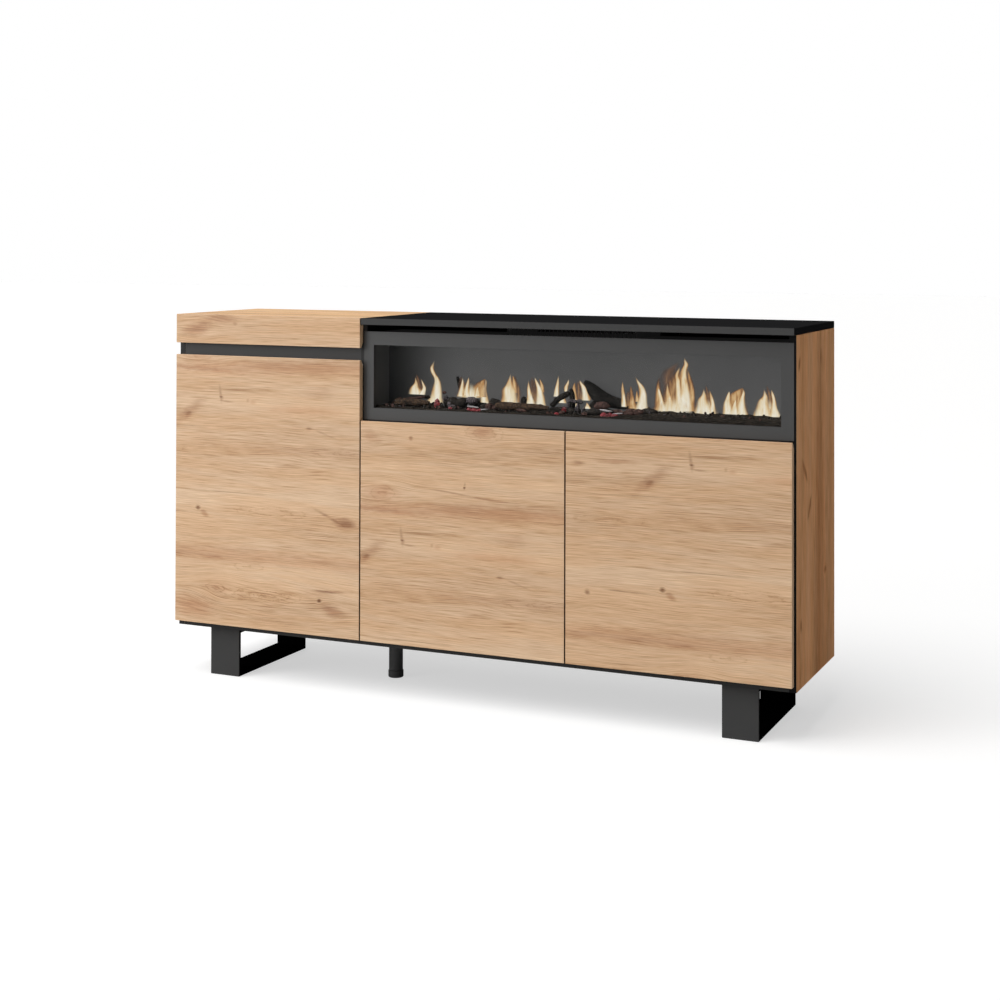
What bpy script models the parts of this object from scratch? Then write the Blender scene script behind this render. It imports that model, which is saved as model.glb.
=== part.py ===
"""Fireplace sideboard: oak and black cabinet on steel legs, with an electric fireplace insert.

Metres, +Z up. The origin is on the floor under the middle of the cabinet; the fronts face -Y.
"""
import math

import bmesh
import bpy
from mathutils import Matrix, Vector

# Overall size
WIDTH = 1.500
DEPTH = 0.360
CARCASS_HEIGHT = 0.742
LEG_HEIGHT = 0.110
BAY = 0.500

# Boards
BOARD = 0.015
FRONT_BOARD = 0.016
BACK_BOARD = 0.003
BACK_INSET = 0.010
GROOVE_DEPTH = 0.005
EDGE_ROUNDING = 0.0006
SHELF_SETBACK = 0.012
CABLE_HOLE_RADIUS = 0.030
CABLE_HOLE_SIDES = 24
CABLE_HOLE_FROM_RIGHT = 0.120
CABLE_HOLE_ABOVE_DECK = 0.055

# Clearances
FIT = 0.0003
SHAFT_CLEARANCE = 0.00005
BUFFER_GAP = 0.002
FRONT_GAP = 0.003
LEFT_REVEAL = 0.0005
RIGHT_REVEAL = 0.0045
OVERRUN = 0.010

# Fronts, from the top down
DRAWER_FRONT_HEIGHT = 0.068
GRIP_GAP = 0.028
WARM_AIR_GAP = 0.0155
FASCIA_HEIGHT = 0.200
FASCIA_TO_DOOR = 0.0022
BOTTOM_REVEAL = 0.0125
GRIP_CUT_DEPTH = 0.010
GRIP_CUT_HEIGHT = 0.014

# Grip rail and fireplace deck
RAIL_BEHIND_DOOR = 0.006
RAIL_BEHIND_DRAWER = 0.0035
DECK_ABOVE_FASCIA_EDGE = 0.0065

# Drawer
DRAWER_FROM_BACK = 0.0307
DRAWER_SIDE = 0.012
DRAWER_BOTTOM = 0.003
DRAWER_HEADROOM = 0.004
DRAWER_UNDER_CLEARANCE = 0.0017
RUNNER_SPACE = 0.0127
RUNNER_HEIGHT = 0.035
RUNNER_SETBACK = 0.003
RUNNER_FROM_DRAWER_REAR = 0.0103
RUNNER_SHEET = 0.0012
RUNNER_CHANNEL = 0.0095
RUNNER_LIP = 0.004
RUNNER_INNER_START = 0.0035
RUNNER_PLAY = 0.0007

# Concealed hinges
CUP_RADIUS = 0.0175
CUP_DEPTH = 0.0113
CUP_WALL = 0.0012
CUP_FROM_EDGE = 0.0225
CUP_FLANGE = 0.0012
CUP_FLANGE_RIM = 0.0012
CUP_WING_HALF_LENGTH = 0.028
CUP_WING_HALF_WIDTH = 0.008
CUP_SIDES = 24
HINGE_FROM_DOOR_END = 0.090
ARM_HALF_WIDTH = 0.004
ARM_HEIGHT = 0.012
ARM_INTO_CUP = 0.0065
ARM_TIP_HALF_WIDTH = 0.003
ARM_START = 0.020
ARM_END = 0.060
ARM_FOOT_END = 0.068
ARM_FOOT_SHEET = 0.0025
ARM_WING_START = 0.034
ARM_WING_END = 0.050
ARM_WING_HALF_LENGTH = 0.024

# Leg frames
LEG_STRAP_WIDTH = 0.079
LEG_STRAP = 0.008
LEG_FRAME_DEPTH = 0.307
LEG_FRONT_INSET = 0.004
LEFT_LEG_INSET = 0.0875
RIGHT_LEG_INSET = 0.079
LEG_ROUNDING = 0.001

# Centre foot
FOOT_RADIUS = 0.0165
FOOT_FLANGE_RADIUS = 0.030
FOOT_FLANGE = 0.004
FOOT_BASE_RADIUS = 0.018
FOOT_BASE_HEIGHT = 0.017
FOOT_BASE_CHAMFER = 0.0015
FOOT_PIN_RADIUS = 0.005
FOOT_PIN_LENGTH = 0.040
FOOT_SIDES = 32

# Fireplace fascia and glass
FASCIA_SHEET = 0.002
WINDOW_FROM_FASCIA_LEFT = 0.0246
WINDOW_FROM_FASCIA_RIGHT = 0.0267
WINDOW_FROM_FASCIA_TOP = 0.0303
WINDOW_FROM_FASCIA_LOW = 0.0267
WINDOW_LIP_DEPTH = 0.008
FASCIA_TOP_RETURN = 0.014
GLASS = 0.004
GLASS_OVERLAP = 0.006

# Fireplace housing and chamber
HOUSING_SIDE_GAP = 0.003
HOUSING_TOP_DROP = 0.003
HOUSING_DEPTH = 0.170
HOUSING_SHEET = 0.0015
CHAMBER_DEPTH = 0.100
SCREEN = 0.003
BED_ABOVE_WINDOW_EDGE = 0.011
BED_SHELL = 0.003
BED_ROUGHNESS = 0.0035
BED_HOLLOW = 0.0085
BED_RISE_SHARES = (0.58, 0.68)
BED_COLUMNS = 56
BED_ROWS = 7

# Flame mechanism behind the screen
ROTOR_ABOVE_FLOOR = 0.034
ROTOR_SHAFT_RADIUS = 0.003
ROTOR_VANE_RADIUS = 0.018
ROTOR_VANE_HALF_THICKNESS = 0.0006
ROTOR_VANES = 4
ROTOR_STEPS = 56
ROTOR_TURNS = 5
ROTOR_JOURNAL = 0.006
ROTOR_JOURNAL_RADIUS = 0.0024
BEARING_SHEET = 0.003
BEARING_WIDTH = 0.024
BEARING_FOOT = 0.018
MOTOR_RADIUS = 0.024
MOTOR_LENGTH = 0.030
MOTOR_SIDES = 24
LED_BOARD = 0.0016
LED_HEIGHT = 0.0022
LED_SIZE = 0.005
LED_COUNT = 24
LED_BOARD_WIDTH = 0.012
LED_FROM_REAR = 0.009

# Warm-air blower behind the housing
BLOWER_WIDTH = 0.300
BLOWER_SHEET = 0.0015
SCROLL_RADIUS = 0.030
SCROLL_START_ANGLE = 90
SCROLL_WALL_END = -71
SCROLL_END_PLATE_END = -180
SCROLL_STEP_ANGLE = 16
SCROLL_SIDES = 30
DUCT_FRONT_SETBACK = 0.024
DUCT_FLOOR_BEHIND_HOUSING = 0.006
WHEEL_RADIUS = 0.0225
WHEEL_BLADE_CHORD = 0.006
WHEEL_BLADE_SHEET = 0.001
WHEEL_BLADE_PITCH = 35
WHEEL_BLADES = 16
WHEEL_DISC = 0.002
WHEEL_SIDE_GAP = 0.004
WHEEL_SHAFT_RADIUS = 0.003
WHEEL_JOURNAL = 0.006
BLOWER_MOTOR_RADIUS = 0.022
BLOWER_MOTOR_LENGTH = 0.036
GRILLE_SHEET = 0.002
GRILLE_BORDER = 0.0025
GRILLE_SLOTS = 30
GRILLE_BAR = 0.002

# Cabinet planes that everything is placed from
left = -WIDTH / 2
right = WIDTH / 2
front = -DEPTH / 2
rear = DEPTH / 2
base = LEG_HEIGHT
top = base + CARCASS_HEIGHT
carcass_front = front + FRONT_BOARD + BUFFER_GAP
fronts_back = front + FRONT_BOARD
divider_x = left + BAY
partition_x = divider_x + BAY
floor_top = base + BOARD
top_under = top - BOARD
back_rear = rear - BACK_INSET
back_front = back_rear - BACK_BOARD

left_inner = left + BOARD
divider_left = divider_x - BOARD / 2
divider_right = divider_x + BOARD / 2
partition_left = partition_x - BOARD / 2
partition_right = partition_x + BOARD / 2
right_inner = right - BOARD

drawer_front_low = top - DRAWER_FRONT_HEIGHT
left_door_top = drawer_front_low - GRIP_GAP
fascia_top = top_under - WARM_AIR_GAP
fascia_low = fascia_top - FASCIA_HEIGHT
low_door_top = fascia_low - FASCIA_TO_DOOR
door_low = base + BOTTOM_REVEAL
rail_low = left_door_top - RAIL_BEHIND_DOOR
rail_high = drawer_front_low + RAIL_BEHIND_DRAWER
deck_top = fascia_low + DECK_ABOVE_FASCIA_EDGE
deck_low = deck_top - BOARD

left_door_edges = (left + LEFT_REVEAL, divider_x - FRONT_GAP / 2)
middle_door_edges = (divider_x + FRONT_GAP / 2, partition_x - FRONT_GAP / 2)
right_door_edges = (partition_x + FRONT_GAP / 2, right - RIGHT_REVEAL)

fascia_left = divider_x + FRONT_GAP / 2
fascia_right = right - RIGHT_REVEAL
window_left = fascia_left + WINDOW_FROM_FASCIA_LEFT
window_right = fascia_right - WINDOW_FROM_FASCIA_RIGHT
window_top = fascia_top - WINDOW_FROM_FASCIA_TOP
window_low = fascia_low + WINDOW_FROM_FASCIA_LOW

housing_left = divider_right + HOUSING_SIDE_GAP
housing_right = right_inner - HOUSING_SIDE_GAP
housing_front = carcass_front + FIT
housing_rear = housing_front + HOUSING_DEPTH
housing_low = deck_top + FIT
housing_top = fascia_top - HOUSING_TOP_DROP
inside_left = housing_left + HOUSING_SHEET
inside_right = housing_right - HOUSING_SHEET
inside_low = housing_low + HOUSING_SHEET
inside_top = housing_top - HOUSING_SHEET
inside_rear = housing_rear - HOUSING_SHEET
glass_front = carcass_front + WINDOW_LIP_DEPTH + FIT
glass_back = glass_front + GLASS
screen_front = carcass_front + CHAMBER_DEPTH
screen_back = screen_front + SCREEN


def new_collection(name):
    """A collection linked to the scene."""
    made = bpy.data.collections.new(name)
    bpy.context.scene.collection.children.link(made)
    return made


for old in list(bpy.data.objects):
    bpy.data.objects.remove(old, do_unlink=True)
PARTS = new_collection("fireplace_sideboard")
CUTTERS = new_collection("cutters")


def finish(name, colour, roughness, metallic=0.0):
    """A Principled material with one colour."""
    made = bpy.data.materials.new(name)
    made.use_nodes = True
    shader = made.node_tree.nodes["Principled BSDF"]
    shader.inputs["Base Color"].default_value = (*colour, 1.0)
    shader.inputs["Roughness"].default_value = roughness
    shader.inputs["Metallic"].default_value = metallic
    return made


OAK = finish("oak_decor", (0.60, 0.40, 0.25), 0.55)
BLACK = finish("black_decor", (0.022, 0.022, 0.022), 0.5)
BACKING = finish("backing_board", (0.05, 0.05, 0.05), 0.8)
FASCIA_PAINT = finish("anthracite_paint", (0.075, 0.077, 0.077), 0.5, 0.3)
LEG_STEEL = finish("black_steel", (0.035, 0.035, 0.035), 0.5, 0.5)
ZINC = finish("zinc_plated_steel", (0.6, 0.6, 0.6), 0.35, 0.9)
SHEET_STEEL = finish("dark_sheet_steel", (0.02, 0.02, 0.02), 0.6, 0.4)
PLASTIC = finish("black_plastic", (0.02, 0.02, 0.02), 0.5)
DRAWER_BOARD = finish("drawer_board", (0.55, 0.55, 0.53), 0.6)
GLASS_CLEAR = finish("clear_glass", (0.8, 0.8, 0.8), 0.03)
SCREEN_GREY = finish("flame_screen_grey", (0.07, 0.07, 0.07), 0.4)
EMBERS = finish("ember_bed_resin", (0.03, 0.02, 0.018), 0.8)
BARK = finish("log_resin", (0.06, 0.035, 0.025), 0.85)
FOIL = finish("bright_foil", (0.8, 0.8, 0.8), 0.15, 1.0)
CIRCUIT = finish("circuit_board", (0.7, 0.7, 0.68), 0.5)


def place(name, mesh, material, location=(0, 0, 0), turned=(0, 0, 0)):
    """An object of the model with one material."""
    mesh.materials.clear()
    mesh.materials.append(material)
    piece = bpy.data.objects.new(name, mesh)
    piece.location = location
    piece.rotation_euler = turned
    PARTS.objects.link(piece)
    return piece


def round_edges(piece, width, segments=1):
    """Takes the sharpness off every edge."""
    bevel = piece.modifiers.new("edge_rounding", "BEVEL")
    bevel.width = width
    bevel.segments = segments
    bevel.limit_method = "ANGLE"


def shade_round(mesh):
    """Smooth shading with sharp edges kept."""
    mesh.shade_smooth()
    mesh.set_sharp_from_angle(angle=math.radians(35))


def box(name, low, high, material, rounding=0.0):
    """A board or block between two corners."""
    size = [b - a for a, b in zip(low, high)]
    centre = [(a + b) / 2 for a, b in zip(low, high)]
    mesh = bpy.data.meshes.new(name)
    solid = bmesh.new()
    bmesh.ops.create_cube(solid, size=1.0, matrix=Matrix.Diagonal((*size, 1.0)))
    solid.to_mesh(mesh)
    solid.free()
    piece = place(name, mesh, material, centre)
    if rounding:
        round_edges(piece, rounding)
    return piece


def solid_from_curve(name, curve):
    """The closed mesh of a filled or bevelled curve, its caps welded on."""
    guide = bpy.data.objects.new(name, curve)
    bpy.context.scene.collection.objects.link(guide)
    depsgraph = bpy.context.evaluated_depsgraph_get()
    mesh = bpy.data.meshes.new_from_object(guide.evaluated_get(depsgraph))
    bpy.data.objects.remove(guide)
    solid = bmesh.new()
    solid.from_mesh(mesh)
    bmesh.ops.remove_doubles(solid, verts=solid.verts, dist=FIT / 10)
    bmesh.ops.recalc_face_normals(solid, faces=solid.faces)
    solid.to_mesh(mesh)
    solid.free()
    return mesh


AXIS_TURNS = {
    "x": (math.pi / 2, 0, math.pi / 2),
    "y": (math.pi / 2, 0, 0),
    "z": (0, 0, 0),
}


def prism(name, outline, axis, start, end, material, holes=()):
    """A flat outline drawn across an axis and extruded from start to end along it.

    The outline's pairs are (y, z) across x, (x, z) across y and (x, y) across z.
    """
    curve = bpy.data.curves.new(name, "CURVE")
    curve.dimensions = "2D"
    curve.fill_mode = "BOTH"
    curve.extrude = (end - start) / 2
    for loop in (outline, *holes):
        spline = curve.splines.new("POLY")
        spline.points.add(len(loop) - 1)
        for point, (u, v) in zip(spline.points, loop):
            point.co = (u, v, 0, 1)
        spline.use_cyclic_u = True
    middle = (start + end) / 2
    location = {"x": (middle, 0, 0), "y": (0, middle, 0), "z": (0, 0, middle)}[axis]
    return place(name, solid_from_curve(name, curve), material, location, AXIS_TURNS[axis])


def turned(name, profile, sides, material, location, rotation=(0, 0, 0)):
    """A round piece: (radius, height) pairs from the top of the axis down the outside."""
    mesh = bpy.data.meshes.new(name)
    line = bmesh.new()
    points = [line.verts.new((radius, 0, height)) for radius, height in profile]
    for a, b in zip(points, points[1:]):
        line.edges.new((a, b))
    line.to_mesh(mesh)
    line.free()
    piece = place(name, mesh, material, location, rotation)
    screw = piece.modifiers.new("turn", "SCREW")
    screw.steps = sides
    screw.render_steps = sides
    screw.use_merge_vertices = True
    screw.merge_threshold = FIT / 10
    screw.use_smooth_shade = True
    return piece


def circle(centre, radius, sides):
    """Points round a circle."""
    steps = [2 * math.pi * i / sides for i in range(sides)]
    return [(centre[0] + radius * math.cos(a), centre[1] + radius * math.sin(a)) for a in steps]


def rectangle(low, high):
    """The corners of a rectangle."""
    return [low, (high[0], low[1]), high, (low[0], high[1])]


def sheet_outline(path, thickness):
    """The outline of bent sheet metal: the path's own line, then back along its left side."""
    back = []
    for i, point in enumerate(path):
        here = Vector(point)
        before = (here - Vector(path[i - 1])).normalized() if i else None
        after = (Vector(path[i + 1]) - here).normalized() if i + 1 < len(path) else None
        before = before or after
        after = after or before
        normal = Vector((-before.y - after.y, before.x + after.x)).normalized()
        reach = thickness / normal.dot(Vector((-before.y, before.x)))
        back.append(tuple(here + normal * reach))
    return list(path) + back[::-1]


def combine(piece, other, operation):
    """A Boolean with a cutter that stays out of the model."""
    PARTS.objects.unlink(other)
    CUTTERS.objects.link(other)
    other.hide_render = True
    other.display_type = "WIRE"
    boolean = piece.modifiers.new(operation.lower(), "BOOLEAN")
    boolean.operation = operation
    boolean.solver = "EXACT"
    boolean.object = other


def cut(piece, other):
    combine(piece, other, "DIFFERENCE")


def join(piece, other):
    combine(piece, other, "UNION")


def pivot(name, location, *pieces):
    """An empty on a joint's axis that carries the pieces which move with it."""
    empty = bpy.data.objects.new(name, None)
    empty.location = location
    PARTS.objects.link(empty)
    for piece in pieces:
        piece.parent = empty
        piece.matrix_parent_inverse = Matrix.Translation(location).inverted()


def build_carcass():
    """Uprights, tops, bottom, deck and partition."""
    uprights = {
        "left_side_panel": (left, left_inner, base, OAK),
        "bay_divider": (divider_left, divider_right, floor_top + FIT, BLACK),
        "right_side_panel": (right_inner, right, base, OAK),
    }
    grooves = {
        "left_side_panel": [(left_inner - GROOVE_DEPTH, left_inner + OVERRUN)],
        "bay_divider": [
            (divider_left - OVERRUN, divider_left + GROOVE_DEPTH),
            (divider_right - GROOVE_DEPTH, divider_right + OVERRUN),
        ],
        "right_side_panel": [(right_inner - OVERRUN, right_inner + GROOVE_DEPTH)],
    }
    for name, (x_low, x_high, z_low, material) in uprights.items():
        panel = box(name, (x_low, carcass_front, z_low), (x_high, rear, top_under - FIT), material)
        for groove_low, groove_high in grooves[name]:
            groove = box(
                name + "_groove",
                (groove_low, back_front - FIT, base - OVERRUN),
                (groove_high, back_rear + FIT, top + OVERRUN),
                material,
            )
            cut(panel, groove)

    box(
        "left_top_panel",
        (left, carcass_front, top_under),
        (divider_x - FIT / 2, rear, top),
        OAK,
        EDGE_ROUNDING,
    )
    box(
        "fireplace_top_panel",
        (divider_x + FIT / 2, front, top_under),
        (right, rear, top),
        BLACK,
        EDGE_ROUNDING,
    )
    box(
        "bottom_panel",
        (left_inner + FIT, carcass_front, base),
        (right_inner - FIT, rear, floor_top),
        BLACK,
    )
    box(
        "grip_rail",
        (left_inner + FIT, carcass_front, rail_low),
        (divider_left - FIT, carcass_front + BOARD, rail_high),
        BLACK,
    )
    box(
        "fireplace_deck",
        (divider_right + FIT, carcass_front, deck_low),
        (right_inner - FIT, back_front - FIT, deck_top),
        BLACK,
    )
    box(
        "centre_partition",
        (partition_left, carcass_front, floor_top + FIT),
        (partition_right, back_front - FIT, deck_low - FIT),
        BLACK,
    )


def build_backs():
    """Thin backs held in the grooves, with a round cable hole behind the fireplace."""
    spans = {
        "left_back_panel": (left_inner, divider_left),
        "right_back_panel": (divider_right, right_inner),
    }
    panels = {}
    for name, (x_low, x_high) in spans.items():
        low = (x_low - GROOVE_DEPTH + FIT, back_front, floor_top + FIT)
        high = (x_high + GROOVE_DEPTH - FIT, back_rear, top_under - FIT)
        panels[name] = box(name, low, high, BACKING)
    centre = (right_inner - CABLE_HOLE_FROM_RIGHT, deck_top + CABLE_HOLE_ABOVE_DECK)
    edge = circle(centre, CABLE_HOLE_RADIUS, CABLE_HOLE_SIDES)
    hole = prism("cable_hole", edge, "y", back_front - OVERRUN, back_rear + OVERRUN, BACKING)
    cut(panels["right_back_panel"], hole)


def build_shelves():
    """Two shelves behind the tall door and one in each cupboard under the fireplace."""
    tall = rail_low - floor_top
    short = deck_low - floor_top
    shelves = {
        "left_shelf_lower": (left_inner, divider_left, floor_top + tall / 3),
        "left_shelf_upper": (left_inner, divider_left, floor_top + tall * 2 / 3),
        "middle_shelf": (divider_right, partition_left, floor_top + short / 2),
        "right_shelf": (partition_right, right_inner, floor_top + short / 2),
    }
    for name, (x_low, x_high, z) in shelves.items():
        low = (x_low + FIT, carcass_front + SHELF_SETBACK, z - BOARD / 2)
        high = (x_high - FIT, back_front - FIT, z + BOARD / 2)
        box(name, low, high, BLACK)


def grip_cut(name, x_low, x_high, edge, direction):
    """A wedge that takes the rear corner off a front's edge, so that fingers can hook behind it."""
    outline = [
        (fronts_back - GRIP_CUT_DEPTH, edge),
        (fronts_back - GRIP_CUT_DEPTH, edge + direction * OVERRUN),
        (fronts_back + OVERRUN, edge + direction * OVERRUN),
        (fronts_back + OVERRUN, edge - direction * GRIP_CUT_HEIGHT),
        (fronts_back, edge - direction * GRIP_CUT_HEIGHT),
    ]
    return prism(name + "_grip_cut", outline, "x", x_low - OVERRUN, x_high + OVERRUN, OAK)


def runner_profile(panel_face, direction, points):
    """A runner's section, from distances off the cabinet's upright and heights about its middle."""
    middle = (drawer_side_low + drawer_side_high) / 2
    path = [(panel_face + direction * u, middle + v) for u, v in points]
    return sheet_outline(path if direction > 0 else path[::-1], RUNNER_SHEET)


drawer_bottom_low = rail_high + DRAWER_UNDER_CLEARANCE
drawer_side_low = drawer_bottom_low + DRAWER_BOTTOM + FIT
drawer_side_high = top_under - DRAWER_HEADROOM
drawer_box_front = fronts_back + FIT
drawer_box_rear = back_front - DRAWER_FROM_BACK
drawer_left = left_inner + RUNNER_SPACE
drawer_right = divider_left - RUNNER_SPACE


def build_drawer():
    """A shallow drawer on side runners; its front hides the edge of the oak top."""
    x_low, x_high = left_door_edges
    face = box(
        "drawer_front",
        (x_low, front, drawer_front_low),
        (x_high, fronts_back, top),
        OAK,
        EDGE_ROUNDING,
    )
    cut(face, grip_cut("drawer_front", x_low, x_high, drawer_front_low, -1))
    side_places = {
        "drawer_left_side": drawer_left,
        "drawer_right_side": drawer_right - DRAWER_SIDE,
    }
    sides = [
        box(
            name,
            (x, drawer_box_front, drawer_side_low),
            (x + DRAWER_SIDE, drawer_box_rear, drawer_side_high),
            DRAWER_BOARD,
        )
        for name, x in side_places.items()
    ]
    back = box(
        "drawer_back",
        (drawer_left + DRAWER_SIDE + FIT, drawer_box_rear - DRAWER_SIDE, drawer_side_low),
        (drawer_right - DRAWER_SIDE - FIT, drawer_box_rear, drawer_side_high),
        DRAWER_BOARD,
    )
    bottom = box(
        "drawer_bottom",
        (drawer_left, drawer_box_front, drawer_bottom_low),
        (drawer_right, drawer_box_rear, drawer_bottom_low + DRAWER_BOTTOM),
        DRAWER_BOARD,
    )

    half = RUNNER_HEIGHT / 2
    channel = [
        (FIT + RUNNER_CHANNEL, half - RUNNER_LIP),
        (FIT + RUNNER_CHANNEL, half),
        (FIT, half),
        (FIT, -half),
        (FIT + RUNNER_CHANNEL, -half),
        (FIT + RUNNER_CHANNEL, RUNNER_LIP - half),
    ]
    inner_half = half - RUNNER_LIP - RUNNER_PLAY
    slider = [
        (RUNNER_INNER_START, inner_half),
        (RUNNER_SPACE - FIT, inner_half),
        (RUNNER_SPACE - FIT, -inner_half),
        (RUNNER_INNER_START, -inner_half),
    ]
    runner_front = carcass_front + RUNNER_SETBACK
    runner_rear = drawer_box_rear - RUNNER_FROM_DRAWER_REAR
    sliders = []
    for side, panel_face, direction in (("left", left_inner, 1), ("right", divider_left, -1)):
        fixed = runner_profile(panel_face, direction, channel)
        moving = runner_profile(panel_face, direction, slider[::-1])
        prism("cabinet_runner_" + side, fixed, "y", runner_front, runner_rear, ZINC)
        sliders.append(prism("drawer_runner_" + side, moving, "y", runner_front, runner_rear, ZINC))
    middle = ((x_low + x_high) / 2, front, drawer_front_low)
    pivot("drawer_slide", middle, face, *sides, back, bottom, *sliders)


def hinge_cup(name, cup_x, cup_z):
    """A pressed hinge cup with two screw wings; the door's back is its seat."""
    seat = fronts_back + FIT
    outline = []
    for i in range(CUP_SIDES):
        angle = 2 * math.pi * (i + 0.5) / CUP_SIDES
        wing = min(
            CUP_WING_HALF_WIDTH / abs(math.cos(angle)),
            CUP_WING_HALF_LENGTH / abs(math.sin(angle)),
        )
        reach = max(wing, CUP_RADIUS + CUP_FLANGE_RIM)
        outline.append((cup_x + reach * math.cos(angle), cup_z + reach * math.sin(angle)))
    mouth = circle((cup_x, cup_z), CUP_RADIUS - CUP_WALL, CUP_SIDES)
    plate = prism(name, outline, "y", seat, seat + CUP_FLANGE, ZINC, holes=(mouth,))
    inner = CUP_RADIUS - CUP_WALL
    profile = [
        (0, CUP_WALL - CUP_DEPTH),
        (inner, CUP_WALL - CUP_DEPTH),
        (inner, CUP_FLANGE / 2),
        (CUP_RADIUS, CUP_FLANGE / 2),
        (CUP_RADIUS, -CUP_DEPTH),
        (0, -CUP_DEPTH),
    ]
    cup = turned(name + "_bowl", profile, CUP_SIDES, ZINC, (cup_x, seat, cup_z), (-math.pi / 2, 0, 0))
    join(plate, cup)
    return plate


def cup_bore(name, cup_x, cup_z):
    """The blind hole that takes a hinge cup."""
    deepest = fronts_back + FIT - CUP_DEPTH - FIT
    outline = circle((cup_x, cup_z), CUP_RADIUS + FIT, CUP_SIDES)
    return prism(name, outline, "y", deepest, fronts_back + OVERRUN, OAK)


def hinge_arm(name, panel_face, direction, cup_x, z):
    """A hinge arm on its mounting plate, screwed to an upright and reaching into the cup."""
    reach = abs(cup_x - panel_face)
    cup_mouth = fronts_back - carcass_front
    section = [
        (FIT, ARM_START),
        (FIT, ARM_FOOT_END),
        (FIT + ARM_FOOT_SHEET, ARM_FOOT_END),
        (FIT + ARM_FOOT_SHEET, ARM_END),
        (reach + ARM_HALF_WIDTH, ARM_END - ARM_HALF_WIDTH),
        (reach + ARM_HALF_WIDTH, 0),
        (reach + ARM_TIP_HALF_WIDTH, cup_mouth - ARM_INTO_CUP),
        (reach - ARM_TIP_HALF_WIDTH, cup_mouth - ARM_INTO_CUP),
        (reach - ARM_HALF_WIDTH, 0),
        (reach - ARM_HALF_WIDTH, ARM_START),
    ]
    outline = [(panel_face + direction * u, carcass_front + v) for u, v in section]
    arm = prism(name, outline, "z", z - ARM_HEIGHT / 2, z + ARM_HEIGHT / 2, ZINC)
    face = sorted((panel_face + direction * FIT, panel_face + direction * (FIT + ARM_FOOT_SHEET)))
    wings = box(
        name + "_wings",
        (face[0], carcass_front + ARM_WING_START, z - ARM_WING_HALF_LENGTH),
        (face[1], carcass_front + ARM_WING_END, z + ARM_WING_HALF_LENGTH),
        ZINC,
    )
    join(arm, wings)


def build_door(name, edges, z_top, hinge_side, panel_face):
    """An overlay door with its hinges; it turns about its front outer corner."""
    x_low, x_high = edges
    leaf = box(name, (x_low, front, door_low), (x_high, fronts_back, z_top), OAK, EDGE_ROUNDING)
    cut(leaf, grip_cut(name, x_low, x_high, z_top, 1))
    hinge_x = x_low if hinge_side > 0 else x_high
    cup_x = hinge_x + hinge_side * CUP_FROM_EDGE
    cups = []
    for level, z in (("lower", door_low + HINGE_FROM_DOOR_END), ("upper", z_top - HINGE_FROM_DOOR_END)):
        title = name.replace("_door", "") + "_hinge"
        cut(leaf, cup_bore(f"{title}_bore_{level}", cup_x, z))
        cups.append(hinge_cup(f"{title}_cup_{level}", cup_x, z))
        hinge_arm(f"{title}_arm_{level}", panel_face, hinge_side, cup_x, z)
    pivot(name + "_pivot", (hinge_x, front, (door_low + z_top) / 2), leaf, *cups)


def build_leg(name, x_low):
    """Flat steel bent into a closed frame that runs from front to rear."""
    y_low = carcass_front + LEG_FRONT_INSET
    outer = rectangle((y_low, 0), (y_low + LEG_FRAME_DEPTH, LEG_HEIGHT - FIT))
    inner = rectangle(
        (y_low + LEG_STRAP, LEG_STRAP),
        (y_low + LEG_FRAME_DEPTH - LEG_STRAP, LEG_HEIGHT - FIT - LEG_STRAP),
    )
    leg = prism(name, outer, "x", x_low, x_low + LEG_STRAP_WIDTH, LEG_STEEL, holes=(inner,))
    round_edges(leg, LEG_ROUNDING)


def build_centre_foot():
    """A round tube under the divider and a base whose pin screws up into it."""
    height = LEG_HEIGHT - FIT
    tube_low = FOOT_BASE_HEIGHT + FIT
    bore = FOOT_PIN_RADIUS + SHAFT_CLEARANCE
    bore_top = FOOT_BASE_HEIGHT + FOOT_PIN_LENGTH + FOOT_PIN_RADIUS
    tube = [
        (0, height),
        (FOOT_FLANGE_RADIUS, height),
        (FOOT_FLANGE_RADIUS, height - FOOT_FLANGE),
        (FOOT_RADIUS, height - FOOT_FLANGE),
        (FOOT_RADIUS, tube_low),
        (bore, tube_low),
        (bore, bore_top),
        (0, bore_top),
    ]
    turned("centre_foot_tube", tube, FOOT_SIDES, PLASTIC, (divider_x, 0, 0))
    foot = [
        (0, FOOT_BASE_HEIGHT + FOOT_PIN_LENGTH),
        (FOOT_PIN_RADIUS, FOOT_BASE_HEIGHT + FOOT_PIN_LENGTH),
        (FOOT_PIN_RADIUS, FOOT_BASE_HEIGHT),
        (FOOT_BASE_RADIUS - FOOT_BASE_CHAMFER, FOOT_BASE_HEIGHT),
        (FOOT_BASE_RADIUS, FOOT_BASE_HEIGHT - FOOT_BASE_CHAMFER),
        (FOOT_BASE_RADIUS, FOOT_BASE_CHAMFER),
        (FOOT_BASE_RADIUS - FOOT_BASE_CHAMFER, 0),
        (0, 0),
    ]
    turned("centre_foot_base", foot, FOOT_SIDES, PLASTIC, (divider_x, 0, 0))


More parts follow.
